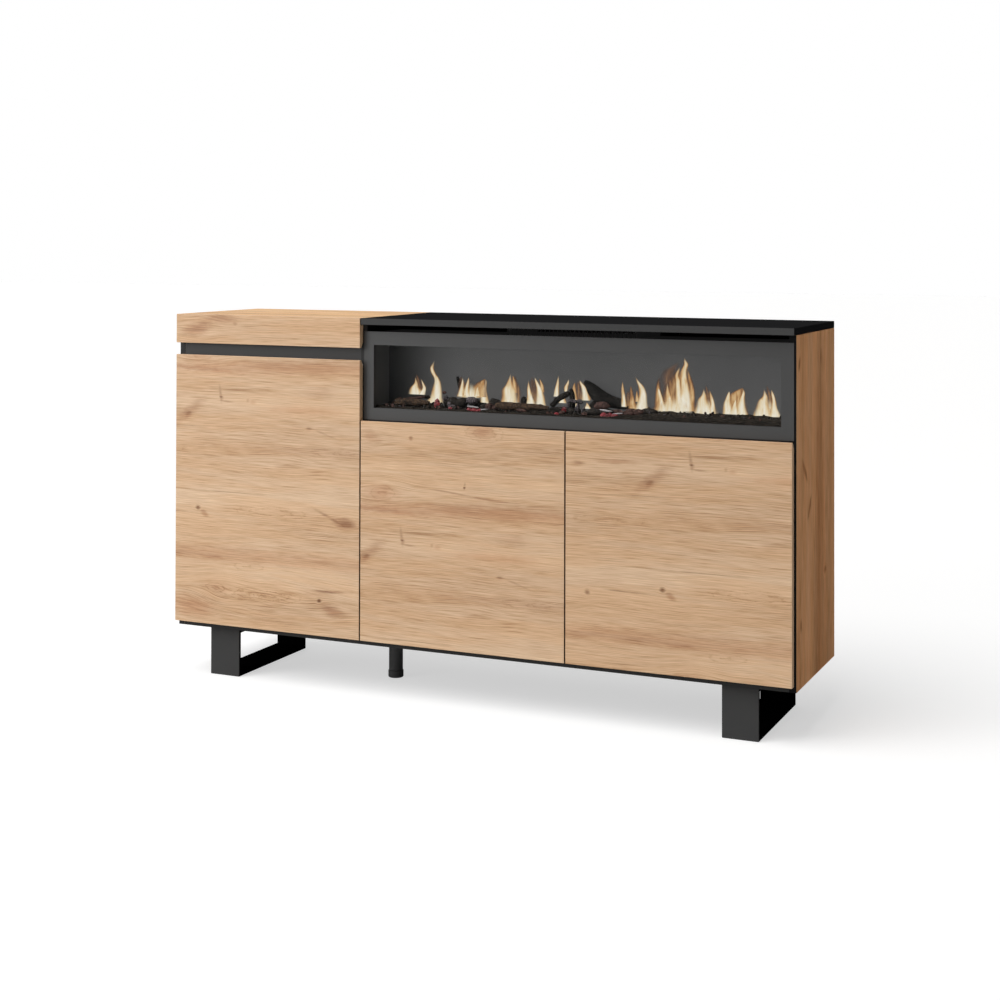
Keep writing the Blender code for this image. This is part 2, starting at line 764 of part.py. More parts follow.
def build_fascia():
    """The metal face round the window, its lip turned in and its top edge turned back."""
    sheet_front = carcass_front - FIT - FASCIA_SHEET
    sheet_back = carcass_front - FIT
    window = rectangle((window_left, window_low), (window_right, window_top))
    rim = rectangle(
        (window_left - FASCIA_SHEET, window_low - FASCIA_SHEET),
        (window_right + FASCIA_SHEET, window_top + FASCIA_SHEET),
    )
    outline = rectangle((fascia_left, fascia_low), (fascia_right, fascia_top))
    face = prism("fireplace_fascia", outline, "y", sheet_front, sheet_back, FASCIA_PAINT, holes=(window,))
    lip_start = sheet_back - FASCIA_SHEET / 2
    lip_end = carcass_front + WINDOW_LIP_DEPTH
    join(face, prism("window_lip", rim, "y", lip_start, lip_end, FASCIA_PAINT, holes=(window,)))
    turned_back = box(
        "fascia_top_return",
        (housing_left, sheet_back - FASCIA_SHEET / 2, fascia_top - FASCIA_SHEET),
        (housing_right, sheet_back + FASCIA_TOP_RETURN, fascia_top),
        FASCIA_PAINT,
    )
    join(face, turned_back)


def build_housing():
    """An open-fronted sheet-metal box with the glass in its mouth and the flame screen inside."""
    low = Vector((housing_left, housing_front, housing_low))
    high = Vector((housing_right, housing_rear, housing_top))
    mesh = bpy.data.meshes.new("fireplace_housing")
    shell = bmesh.new()
    bmesh.ops.create_cube(shell, size=1.0, matrix=Matrix.Diagonal((*(high - low), 1.0)))
    mouth = min(shell.faces, key=lambda face: face.calc_center_median().y)
    bmesh.ops.delete(shell, geom=[mouth], context="FACES_ONLY")
    shell.to_mesh(mesh)
    shell.free()
    housing = place("fireplace_housing", mesh, SHEET_STEEL, (low + high) / 2)
    solidify = housing.modifiers.new("sheet", "SOLIDIFY")
    solidify.thickness = HOUSING_SHEET
    solidify.offset = -1
    solidify.use_even_offset = True

    box(
        "glass_pane",
        (window_left - GLASS_OVERLAP, glass_front, window_low - GLASS_OVERLAP),
        (window_right + GLASS_OVERLAP, glass_back, window_top + GLASS_OVERLAP),
        GLASS_CLEAR,
    )
    box(
        "flame_screen",
        (inside_left + FIT, screen_front, inside_low + FIT),
        (inside_right - FIT, screen_back, inside_top - FIT),
        SCREEN_GREY,
    )


bed_top = window_low + BED_ABOVE_WINDOW_EDGE
bed_front = glass_back + FIT
bed_rear = screen_front - FIT
bed_left = inside_left + FIT
bed_right = inside_right - FIT


def bed_height(x, y):
    """The lumpy top of the ember bed, a sum of waves on a tray that lies lower under the logs."""
    u = (x - bed_left) / BED_ROUGHNESS
    v = (y - bed_front) / BED_ROUGHNESS
    lumps = math.sin(0.23 * u + 0.31 * v) + math.sin(0.41 * u - 0.17 * v) + math.sin(0.11 * u + 0.53 * v)
    start, end = (bed_left + share * (bed_right - bed_left) for share in BED_RISE_SHARES)
    rise = min(max((x - start) / (end - start), 0), 1)
    hollow = BED_HOLLOW * (1 - rise ** 2 * (3 - 2 * rise))
    return bed_top - hollow + BED_ROUGHNESS * lumps / 3


def build_ember_bed():
    """A moulded ember tray: a lumpy top with its edges turned down to the housing's floor."""
    width = bed_right - bed_left
    depth = bed_rear - bed_front
    mesh = bpy.data.meshes.new("ember_bed")
    shell = bmesh.new()
    spread = Matrix.Translation(((bed_left + bed_right) / 2, (bed_front + bed_rear) / 2, 0))
    spread = spread @ Matrix.Diagonal((width / 2, depth / 2, 1.0, 1.0))
    bmesh.ops.create_grid(shell, x_segments=BED_COLUMNS, y_segments=BED_ROWS, size=1.0, matrix=spread)
    for vert in shell.verts:
        vert.co.z = bed_height(vert.co.x, vert.co.y)
    rim = [edge for edge in shell.edges if edge.is_boundary]
    skirt = bmesh.ops.extrude_edge_only(shell, edges=rim)
    for vert in skirt["geom"]:
        if isinstance(vert, bmesh.types.BMVert):
            vert.co.z = inside_low + FIT
    bmesh.ops.recalc_face_normals(shell, faces=shell.faces)
    shell.to_mesh(mesh)
    shell.free()
    bed = place("ember_bed", mesh, EMBERS)
    solidify = bed.modifiers.new("moulding", "SOLIDIFY")
    solidify.thickness = BED_SHELL
    solidify.offset = -1
    solidify.use_even_offset = True


# Each log is a row of (share of the bed's width, share of its depth, share of the thickest radius,
# rise in radii) along its own line, and its thickest radius.
LOG_SHARES = {
    "log_left": (0.0090, [
        (0.052, 0.24, 0.80, 0.0), (0.056, 0.24, 1.00, 0.0), (0.080, 0.26, 0.95, 0.1),
        (0.105, 0.28, 1.00, 0.1), (0.125, 0.31, 0.80, 0.0), (0.140, 0.33, 0.45, 0.0),
    ]),
    "log_upright": (0.0100, [
        (0.192, 0.74, 0.38, 6.3), (0.198, 0.73, 0.55, 4.8), (0.206, 0.71, 0.74, 3.1),
        (0.220, 0.68, 0.95, 1.3), (0.238, 0.65, 1.00, 0.6), (0.258, 0.63, 0.90, 0.4),
        (0.282, 0.62, 0.70, 0.2), (0.306, 0.61, 0.40, 0.0),
    ]),
    "log_front": (0.0098, [
        (0.310, 0.22, 0.55, 0.1), (0.325, 0.23, 0.95, 0.1), (0.350, 0.25, 1.00, 0.0),
        (0.380, 0.27, 0.85, 0.0), (0.410, 0.25, 0.80, 0.1), (0.445, 0.21, 0.50, 0.0),
    ]),
    "log_driftwood": (0.0175, [
        (0.512, 0.74, 0.25, 3.1), (0.523, 0.74, 0.56, 2.6), (0.536, 0.73, 0.92, 1.8),
        (0.552, 0.72, 1.00, 1.1), (0.572, 0.71, 0.88, 0.7), (0.592, 0.69, 0.74, 0.5),
        (0.620, 0.65, 0.60, 0.3), (0.650, 0.60, 0.45, 0.1), (0.676, 0.55, 0.28, 0.0),
    ]),
}
LOG_REST_STEPS = 6
LOG_ROUNDNESS = 3


def build_log(name, radius, shares):
    """A tapering branch of cast resin, lowered until it rests on the ember bed."""
    width = bed_right - bed_left
    depth = bed_rear - bed_front
    line = []
    for along, across, thickness, rise in shares:
        x = bed_left + along * width
        y = bed_front + across * depth
        line.append((Vector((x, y, bed_top + rise * radius)), thickness))
    lift = []
    for (a, thick_a), (b, thick_b) in zip(line, line[1:]):
        for step in range(LOG_REST_STEPS):
            share = step / LOG_REST_STEPS
            spot = a.lerp(b, share)
            reach = radius * (thick_a + share * (thick_b - thick_a))
            for side in (-reach / 2, 0, reach / 2):
                belly = math.sqrt(reach ** 2 - side ** 2)
                lift.append(bed_height(spot.x, spot.y + side) + belly - spot.z)
    rest = max(lift) + FIT
    curve = bpy.data.curves.new(name, "CURVE")
    curve.dimensions = "3D"
    curve.bevel_depth = radius
    curve.bevel_resolution = LOG_ROUNDNESS
    curve.use_fill_caps = True
    spline = curve.splines.new("POLY")
    spline.points.add(len(line) - 1)
    for point, (spot, thickness) in zip(spline.points, line):
        point.co = (spot.x, spot.y, spot.z + rest, 1)
        point.radius = thickness
    mesh = solid_from_curve(name, curve)
    shade_round(mesh)
    place(name, mesh, BARK)


rotor_y = (screen_back + inside_rear) / 2
rotor_z = inside_low + ROTOR_ABOVE_FLOOR
motor_left = inside_right - FIT - MOTOR_LENGTH
bearing_left = inside_left + FIT + BEARING_FOOT
rotor_left = bearing_left
rotor_right = motor_left + ROTOR_JOURNAL
vanes_left = bearing_left + BEARING_SHEET + ROTOR_JOURNAL
vanes_right = motor_left - ROTOR_JOURNAL


def build_rotor():
    """A shaft with four bright vanes that wind round it and throw moving light on the screen."""
    mesh = bpy.data.meshes.new("flame_rotor")
    solid = bmesh.new()
    section = []
    valley = ROTOR_SHAFT_RADIUS * math.sqrt(2) / 2
    for i in range(ROTOR_VANES):
        turn = Matrix.Rotation(2 * math.pi * i / ROTOR_VANES, 2)
        for point in (
            (ROTOR_SHAFT_RADIUS, -ROTOR_VANE_HALF_THICKNESS),
            (ROTOR_VANE_RADIUS, -ROTOR_VANE_HALF_THICKNESS),
            (ROTOR_VANE_RADIUS, ROTOR_VANE_HALF_THICKNESS),
            (ROTOR_SHAFT_RADIUS, ROTOR_VANE_HALF_THICKNESS),
            (valley, valley),
        ):
            section.append(turn @ Vector(point))
    start = vanes_left - rotor_left
    verts = [solid.verts.new((start, point.x, point.y)) for point in section]
    face = solid.faces.new(verts)
    step = Vector(((vanes_right - vanes_left) / ROTOR_STEPS, 0, 0))
    twist = Matrix.Rotation(2 * math.pi * ROTOR_TURNS / ROTOR_STEPS, 3, "X")
    for number in range(ROTOR_STEPS):
        grown = bmesh.ops.extrude_face_region(solid, geom=[face])["geom"]
        moved = [item for item in grown if isinstance(item, bmesh.types.BMVert)]
        bmesh.ops.translate(solid, verts=moved, vec=step)
        bmesh.ops.rotate(solid, verts=moved, cent=(0, 0, 0), matrix=twist)
        if number:
            bmesh.ops.delete(solid, geom=[face], context="FACES_ONLY")
        face = next(item for item in grown if isinstance(item, bmesh.types.BMFace))
    bmesh.ops.triangulate(solid, faces=solid.faces)
    bmesh.ops.recalc_face_normals(solid, faces=solid.faces)
    solid.to_mesh(mesh)
    solid.free()
    rotor = place("flame_rotor", mesh, FOIL, (rotor_left, rotor_y, rotor_z))
    journal = prism(
        "rotor_shaft",
        circle((rotor_y, rotor_z), ROTOR_JOURNAL_RADIUS, MOTOR_SIDES),
        "x",
        rotor_left,
        rotor_right,
        FOIL,
    )
    join(rotor, journal)


def build_rotor_mounts():
    """A bracket with a bearing hole at one end and a geared motor at the other."""
    hole = circle((rotor_y, rotor_z), ROTOR_JOURNAL_RADIUS + SHAFT_CLEARANCE, MOTOR_SIDES)
    upright = prism(
        "rotor_bearing",
        rectangle(
            (rotor_y - BEARING_WIDTH / 2, inside_low + FIT),
            (rotor_y + BEARING_WIDTH / 2, rotor_z + BEARING_WIDTH / 2),
        ),
        "x",
        bearing_left,
        bearing_left + BEARING_SHEET,
        ZINC,
        holes=(hole,),
    )
    foot = box(
        "bearing_foot",
        (bearing_left - BEARING_FOOT, rotor_y - BEARING_WIDTH / 2, inside_low + FIT),
        (bearing_left + BEARING_SHEET / 2, rotor_y + BEARING_WIDTH / 2, inside_low + FIT + BEARING_SHEET),
        ZINC,
    )
    join(upright, foot)
    motor = prism(
        "rotor_motor",
        circle((rotor_y, rotor_z), MOTOR_RADIUS, MOTOR_SIDES),
        "x",
        motor_left,
        inside_right - FIT,
        PLASTIC,
    )
    cut(motor, prism("motor_bore", hole, "x", motor_left - OVERRUN, rotor_right + FIT, PLASTIC))


def build_led_strip():
    """A circuit board under the screen's rear with a row of square lamps."""
    low = inside_low + FIT
    board_top = low + LED_BOARD
    board_left = vanes_left
    board_right = vanes_right
    pitch = (board_right - board_left) / LED_COUNT
    outline = [(board_right, low), (board_left, low), (board_left, board_top)]
    for i in range(LED_COUNT):
        middle = board_left + pitch * (i + 0.5)
        outline += [
            (middle - LED_SIZE / 2, board_top),
            (middle - LED_SIZE / 2, board_top + LED_HEIGHT),
            (middle + LED_SIZE / 2, board_top + LED_HEIGHT),
            (middle + LED_SIZE / 2, board_top),
        ]
    outline.append((board_right, board_top))
    y = inside_rear - LED_FROM_REAR
    prism("led_strip", outline, "y", y - LED_BOARD_WIDTH / 2, y + LED_BOARD_WIDTH / 2, CIRCUIT)


duct_top = top_under - FIT
scroll_y = housing_rear + FIT + SCROLL_RADIUS
scroll_z = duct_top - SCROLL_RADIUS
blower_left = (housing_left + housing_right - BLOWER_WIDTH) / 2
blower_right = blower_left + BLOWER_WIDTH
duct_front = carcass_front + DUCT_FRONT_SETBACK
duct_low = housing_top + FIT
wheel_left = blower_left - WHEEL_JOURNAL
wheel_right = blower_right + FIT + WHEEL_JOURNAL


def scroll_arc(last_angle):
    """The blower's round rear, from the duct's top over the back, in the plane of its end plates."""
    points = []
    for degrees in range(SCROLL_START_ANGLE, last_angle, -SCROLL_STEP_ANGLE):
        angle = math.radians(degrees)
        points.append((
            scroll_y + SCROLL_RADIUS * math.cos(angle),
            scroll_z + SCROLL_RADIUS * math.sin(angle),
        ))
    return points


def build_blower():
    """A cross-flow blower: scroll and duct, wheel, motor, and the grille in the warm-air gap."""
    wall = [(duct_front, duct_top)] + scroll_arc(SCROLL_WALL_END)
    ceiling = sheet_outline(wall[::-1], BLOWER_SHEET)
    body = prism("blower_housing", ceiling, "x", blower_left, blower_right, SHEET_STEEL)
    floor_end = housing_rear + DUCT_FLOOR_BEHIND_HOUSING
    floor_part = box(
        "duct_floor",
        (blower_left, duct_front, duct_low),
        (blower_right, floor_end, duct_low + BLOWER_SHEET),
        SHEET_STEEL,
    )
    join(body, floor_part)
    shaft_hole = circle((scroll_y, scroll_z), WHEEL_SHAFT_RADIUS + SHAFT_CLEARANCE, MOTOR_SIDES)
    end = [(duct_front, duct_low), (duct_front, duct_top)]
    end += scroll_arc(SCROLL_END_PLATE_END)
    end.append((floor_end, duct_low))
    for side, x in (("left", blower_left), ("right", blower_right - BLOWER_SHEET)):
        title = "blower_end_" + side
        join(body, prism(title, end, "x", x, x + BLOWER_SHEET, SHEET_STEEL, holes=(shaft_hole,)))

    build_wheel()
    motor = prism(
        "blower_motor",
        circle((scroll_y, scroll_z), BLOWER_MOTOR_RADIUS, MOTOR_SIDES),
        "x",
        blower_right + FIT,
        blower_right + FIT + BLOWER_MOTOR_LENGTH,
        SHEET_STEEL,
    )
    bore_end = wheel_right + FIT
    cut(motor, prism("blower_motor_bore", shaft_hole, "x", blower_right - OVERRUN, bore_end, SHEET_STEEL))

    slots = []
    slot_low = duct_low + GRILLE_BORDER
    slot_high = duct_top - GRILLE_BORDER
    pitch = (BLOWER_WIDTH - 2 * GRILLE_BORDER + GRILLE_BAR) / GRILLE_SLOTS
    for i in range(GRILLE_SLOTS):
        x = blower_left + GRILLE_BORDER + pitch * i
        slots.append(rectangle((x, slot_low), (x + pitch - GRILLE_BAR, slot_high)))
    prism(
        "outlet_grille",
        rectangle((blower_left, duct_low), (blower_right, duct_top)),
        "y",
        duct_front - FIT - GRILLE_SHEET,
        duct_front - FIT,
        SHEET_STEEL,
        holes=slots,
    )


def build_wheel():
    """The cross-flow wheel: two discs, a ring of pitched blades and a shaft end on each side."""
    disc_left = blower_left + BLOWER_SHEET + WHEEL_SIDE_GAP
    disc_right = blower_right - BLOWER_SHEET - WHEEL_SIDE_GAP
    disc = circle((scroll_y, scroll_z), WHEEL_RADIUS, SCROLL_SIDES)
    wheel = prism("blower_wheel", disc, "x", disc_left, disc_left + WHEEL_DISC, SHEET_STEEL)
    other_disc = prism("wheel_disc_right", disc, "x", disc_right - WHEEL_DISC, disc_right, SHEET_STEEL)
    join(wheel, other_disc)
    mean_radius = WHEEL_RADIUS - WHEEL_BLADE_CHORD / 2 - FIT
    for i in range(WHEEL_BLADES):
        around = 2 * math.pi * i / WHEEL_BLADES
        along = Vector((math.cos(around), math.sin(around)))
        centre = Vector((scroll_y, scroll_z)) + mean_radius * along
        along.rotate(Matrix.Rotation(math.radians(WHEEL_BLADE_PITCH), 2))
        across = Vector((-along.y, along.x)) * WHEEL_BLADE_SHEET / 2
        half = along * WHEEL_BLADE_CHORD / 2
        blade = prism(
            f"wheel_blade_{i}",
            [
                tuple(centre - half - across),
                tuple(centre + half - across),
                tuple(centre + half + across),
                tuple(centre - half + across),
            ],
            "x",
            disc_left + WHEEL_DISC / 2,
            disc_right - WHEEL_DISC / 2,
            SHEET_STEEL,
        )
        join(wheel, blade)
    shaft = circle((scroll_y, scroll_z), WHEEL_SHAFT_RADIUS, MOTOR_SIDES)
    ends = {
        "wheel_shaft_left": (wheel_left, disc_left + WHEEL_DISC / 2),
        "wheel_shaft_right": (disc_right - WHEEL_DISC / 2, wheel_right),
    }
    for name, (start, end) in ends.items():
        join(wheel, prism(name, shaft, "x", start, end, SHEET_STEEL))


build_carcass()
build_backs()
build_shelves()
build_drawer()
build_door("left_door", left_door_edges, left_door_top, 1, left_inner)
build_door("middle_door", middle_door_edges, low_door_top, 1, divider_right)
build_door("right_door", right_door_edges, low_door_top, -1, right_inner)
build_leg("left_leg_frame", left + LEFT_LEG_INSET)
build_leg("right_leg_frame", right - RIGHT_LEG_INSET - LEG_STRAP_WIDTH)
build_centre_foot()
build_fascia()
build_housing()
build_ember_bed()
for log_name, (log_radius, log_shares) in LOG_SHARES.items():
    build_log(log_name, log_radius, log_shares)
build_rotor()
build_rotor_mounts()
build_led_strip()
build_blower()
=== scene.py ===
"""Looks for the fireplace sideboard: decor, paint, flames, coals and small hardware round the frame."""
import math
import random

import bmesh
import bpy
from mathutils import Euler, Matrix, Vector, noise
from mathutils.bvhtree import BVHTree


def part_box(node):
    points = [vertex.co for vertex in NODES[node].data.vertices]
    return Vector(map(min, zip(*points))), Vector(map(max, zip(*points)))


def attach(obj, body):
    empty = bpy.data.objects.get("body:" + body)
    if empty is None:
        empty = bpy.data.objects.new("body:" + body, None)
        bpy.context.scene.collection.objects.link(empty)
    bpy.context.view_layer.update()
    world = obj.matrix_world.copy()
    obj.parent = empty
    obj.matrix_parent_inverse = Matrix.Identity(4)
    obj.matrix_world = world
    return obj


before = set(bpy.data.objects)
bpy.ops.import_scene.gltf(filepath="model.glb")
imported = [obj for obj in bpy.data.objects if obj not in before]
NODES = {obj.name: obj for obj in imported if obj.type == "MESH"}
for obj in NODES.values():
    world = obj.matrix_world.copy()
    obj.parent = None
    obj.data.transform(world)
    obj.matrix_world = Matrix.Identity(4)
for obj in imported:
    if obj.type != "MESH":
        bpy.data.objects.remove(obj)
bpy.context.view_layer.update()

MM = 0.001
X, Y, Z = 0, 1, 2
scene = bpy.context.scene

# Camera, fitted to the photograph
CAMERA_PLACE = (1.5953, -3.5467, 1.0255)
CAMERA_YAW = 24.0052
CAMERA_PITCH = 0.7873
CAMERA_ROLL = 0.1471
CAMERA_LENS = 60.64
CAMERA_SHIFT = -0.2811

# Light, as levels at which a colour renders about as it is written
SUN_LEVEL = 0.75
SUN_FROM = (-0.3, -0.42, 0.86)
SUN_SPREAD = 50
LAMP_POWER = 38
LAMP_PLACE = (-2.4, -2.6, 1.7)
LAMP_AIM = (0.1, -0.1, 0.4)
LAMP_SIZE = 1.6
SKY_LEVEL = 0.27
FLOOR_COLOUR = 0.5
FLOOR_LIFT = 0.56


def linear(*levels):
    """Display colour levels from 0 to 255 as linear values."""
    shares = [level / 255 for level in levels]
    return [s / 12.92 if s <= 0.04045 else ((s + 0.055) / 1.055) ** 2.4 for s in shares]


def grey(level):
    """A neutral display level as a linear colour."""
    return linear(level, level, level)


def opaque(*levels):
    """Display colour levels as a linear colour with its alpha."""
    return (*linear(*levels), 1)


class Tree:
    """Short calls that build a node tree."""

    def __init__(self, tree):
        self.tree = tree

    def add(self, kind, inputs=(), **settings):
        made = self.tree.nodes.new("ShaderNode" + kind)
        for name, value in settings.items():
            setattr(made, name, value)
        for name, value in dict(inputs).items():
            self.plug(made.inputs[name], value)
        return made

    def plug(self, socket, value):
        if isinstance(value, bpy.types.NodeSocket):
            self.tree.links.new(value, socket)
        else:
            socket.default_value = value

    def shade(self, values):
        """Links or sets inputs of the material's shader."""
        shader = self.tree.nodes["Principled BSDF"]
        for name, value in values.items():
            self.plug(shader.inputs[name], value)

    def math(self, operation, a, b=0.0, c=0.0):
        return self.add("Math", {0: a, 1: b, 2: c}, operation=operation).outputs[0]

    def vector(self, operation, a, b=(0, 0, 0)):
        made = self.add("VectorMath", {0: a, 1: b}, operation=operation)
        return made.outputs["Value" if operation == "LENGTH" else "Vector"]

    def times(self, a, b):
        return self.math("MULTIPLY", a, b)

    def plus(self, value, other, amount):
        """The value plus an amount of the other."""
        return self.math("MULTIPLY_ADD", other, amount, value)

    def vary(self, value, other, amount):
        """The value plus an amount of a noise that goes round one half."""
        return self.plus(value, self.math("SUBTRACT", other, 0.5), amount)

    def stretch(self, vector, scale, place=(0, 0, 0), tilt=0.0):
        """The vector from a place, turned back by tilt and multiplied by scale."""
        moved = self.vector("SUBTRACT", vector, place) if any(place) else vector
        if tilt:
            inputs = {"Vector": moved, "Angle": -tilt}
            moved = self.add("VectorRotate", inputs, rotation_type="Z_AXIS").outputs[0]
        return self.vector("MULTIPLY", moved, scale)

    def noise(self, vector, scale, place=(0, 0, 0), detail=2.0, roughness=0.5, distortion=0.0):
        """Noise whose scale is one number or one for each axis."""
        stretched = self.stretch(vector, scale if isinstance(scale, tuple) else (scale,) * 3, place)
        inputs = {"Vector": stretched, "Scale": 1.0, "Detail": detail, "Roughness": roughness}
        inputs["Distortion"] = distortion
        return self.add("TexNoise", inputs).outputs["Fac"]

    def cracks(self, vector):
        """The distance to the nearest edge in a pattern of cells."""
        inputs = {"Vector": vector, "Scale": 1.0}
        return self.add("TexVoronoi", inputs, feature="DISTANCE_TO_EDGE").outputs["Distance"]

    def fade(self, value, start, end, low=0.0, high=1.0):
        """Goes smoothly from low at start to high at end."""
        inputs = {"Value": value, "From Min": start, "From Max": end, "To Min": low, "To Max": high}
        return self.add("MapRange", inputs, interpolation_type="SMOOTHSTEP").outputs[0]

    def mix(self, share, a, b, blend="MIX"):
        made = self.add("Mix", {"Factor": share}, data_type="RGBA", blend_type=blend)
        self.plug(made.inputs[6], a if isinstance(a, bpy.types.NodeSocket) else (*a, 1.0))
        self.plug(made.inputs[7], b if isinstance(b, bpy.types.NodeSocket) else (*b, 1.0))
        return made.outputs[2]

    def ramp(self, value, stops):
        """A colour ramp whose stops are (share, display colour), from the first to the last."""
        made = self.add("ValToRGB", {0: value})
        elements = made.color_ramp.elements
        for element, (share, colour) in zip(elements, (stops[0], stops[-1])):
            element.position = share
            element.color = opaque(*colour)
        for share, colour in stops[1:-1]:
            elements.new(share).color = opaque(*colour)
        return made.outputs[0]

    def mottle(self, share, colour, low, high):
        """The colour, from low times to high times as bright."""
        return self.mix(share, [c * low for c in colour], [c * high for c in colour])

    def split(self, vector):
        return self.add("SeparateXYZ", {0: vector}).outputs

    def facing(self, axis):
        """How far the surface faces along one of the object's own axes."""
        return self.split(self.add("TexCoord").outputs["Normal"])[axis]

    def bump(self, height, distance, strength):
        inputs = {"Height": height, "Distance": distance, "Strength": strength}
        return self.add("Bump", inputs).outputs[0]


def new_material(name):
    """A node material, its tree and its object coordinates."""
    made = bpy.data.materials.new(name)
    made.use_nodes = True
    t = Tree(made.node_tree)
    return made, t, t.add("TexCoord").outputs["Object"]


def in_metres(table):
    """The rows with their first four numbers, which are lengths in millimetres, in metres."""
    return [(*(length * MM for length in row[:4]), *row[4:]) for row in table]


# Figures of the oak decor, in millimetres from the bent crack that each front shows once:
# along the grain, across it, half length, half height, tilt in degrees, darkness, redness, bend of the grain
OAK_FIGURES = in_metres([
    (-2.5, 4, 3.2, 15, 8, 0.5, 0.3, 0), (1, -5, 4, 6, 14, 0.3, 0.3, 0), (14, -13.5, 17, 2, -5, 0.3, 0.4, 0),
    (73, -9, 3, 3, 0, 0.22, 0.5, 0.5), (88, -13, 7, 4, 0, 0.08, 0.7, 0),
    (-86, -38, 42, 10, 38, 0.26, 0.5, 0.4), (-92, -48, 8, 4.5, 30, 0.3, 0.4, 0),
    (30, -72, 320, 1.6, 1, 0.22, 0.1, 0), (237, -68, 6, 3.4, 0, 0.95, 0.3, 0.7),
    (275, -76, 30, 2, -18, 0.35, 0.2, 0), (265, 18, 28, 13, 0, 0.16, 0.3, 0.3),
    (227, -27, 90, 7, 0, 0.06, 0.7, 0), (250, -121, 220, 9, 0, 0.22, 0.3, 0),
    (172, -157, 35, 12, 0, 0.03, 0.1, 0.5), (20, -226, 90, 1.4, 0, 0.35, 0.2, 0),
    (-64, -267, 5, 4.5, 0, 0.85, 0.3, 0.7), (-45, -280, 9, 5, -30, 0.35, 0.9, 0),
    (150, -262, 130, 9, 2, 0.05, 0.1, 0.6), (335, -279, 24, 11, -8, 0.5, 0.8, 0.6),
    (290, -266, 33, 3, -24, 0.3, 0.4, 0), (-232, -286, 4.8, 4.5, 0, 0.75, 0.3, 0.7),
    (-135, -278, 38, 1.8, -1, 0.6, 0.4, 0), (50, -373, 900, 14, 0, 0.1, 0.6, 0),
    (-20, -381, 30, 3, 0, 0.25, 0.5, 0), (300, -436, 48, 3.2, 3, 0.6, 0.6, 0),
    (252, -447, 20, 3, 0, 0.45, 0.5, 0), (267, -459, 4.2, 3.6, 0, 0.8, 0.4, 0.5),
    (302, -480, 24, 10, -12, 0.42, 0.9, 0.5), (-80, -502, 50, 20, 0, 0.14, 0.9, 0.5),
    (-10, -452, 30, 14, 0, 0.05, 0.4, 0.8), (130, -460, 90, 22, 0, 0.03, 0, 0.8),
    (153, 126, 2.2, 6, -8, 0.95, 0.2, 0), (110, 112, 60, 1.8, -6, 0.4, 0.6, 0),
    (210, 101, 50, 2, -4, 0.35, 0.7, 0), (-55, 100, 36, 15, 0, 0.1, 0.9, 0.8),
    (200, 70, 300, 14, 1, 0.1, 0.8, 0), (-60, 62, 90, 6, -4, 0.18, 0.6, 0),
    (194, 248, 26, 13, 0, 0.3, 0.9, 0.6), (-83, 226, 22, 12, -20, 0.25, 0.6, 0.5),
    (20, 226, 4, 4, 0, 0.4, 0.9, 0.6), (-165, -5, 40, 4, 2, 0.3, 0.9, 0),
    (-255, -13, 12, 4, 0, 0.45, 0.6, 0.3), (-10, 372, 30, 13, 12, 0.32, 0.9, 0.6),
    (55, 396, 38, 8, 0, 0.28, 0.7, 0.4), (95, 386, 5, 3, 0, 0.4, 0.5, 0),
])

# Nested loops of grain: along, across, half length, half height, rings, darkness
OAK_LOOPS = in_metres([
    (110, -460, 135, 20, 5, 0.5), (-14, -452, 36, 15, 3, 0.45), (140, -266, 125, 17, 4, 0.4),
    (77, -397, 55, 14, 3, 0.35), (-51, 100, 44, 20, 3, 0.3), (200, 246, 60, 26, 4, 0.35),
    (330, -120, 120, 14, 3, 0.3), (-180, -130, 110, 13, 3, 0.28),
])

# Figures of the top's and the sides' own cuts of the decor
TOP_FIGURES = in_metres([
    (-90, 640, 9, 4.5, 0, 0.5, 0.5, 0.6), (10, 780, 50, 6, 0, 0.16, 0.6, 0.4),
    (-290, 730, 20, 2, -12, 0.35, 0.4, 0),
])
SIDE_FIGURES = in_metres([
    (517, -810, 6.5, 7.5, 0, 1.15, 0.5, 0.6), (753, -991, 26, 6, -44, 0.45, 0.5, 0),
    (672, -948, 20, 6, 33, 0.5, 0.5, 0), (438, -1024, 11, 5, 0, 0.85, 0.4, 0),
    (978, -1036, 12, 6, 20, 0.45, 0.5, 0), (981, -847, 14, 3, 0, 0.6, 0.4, 0),
    (700, -866, 400, 30, 0, 0.1, 0.2, 0),
])

# How far a figure reaches through a board, and its size as a share of the bend in the grain round it
FIGURE_DEPTH = 0.4
BEND_ALONG = 0.4
BEND_ACROSS = 0.35

OAK_COLOURS = (
    (0.0, (156, 115, 80)), (0.3, (190, 152, 117)), (0.5, (209, 175, 142)), (0.72, (221, 189, 157)),
    (1.0, (236, 206, 172)),
)


def figures_within(table, low_along, high_along, low_up, high_up):
    """The figures that reach into a board's cut of the decor."""
    kept = []
    for figure in table:
        along, up, half, height = figure[:4]
        crosses = low_along - 2 * half < along < high_along + 2 * half
        if crosses and low_up - 2 * height < up < high_up + 2 * height:
            kept.append(figure)
    return kept


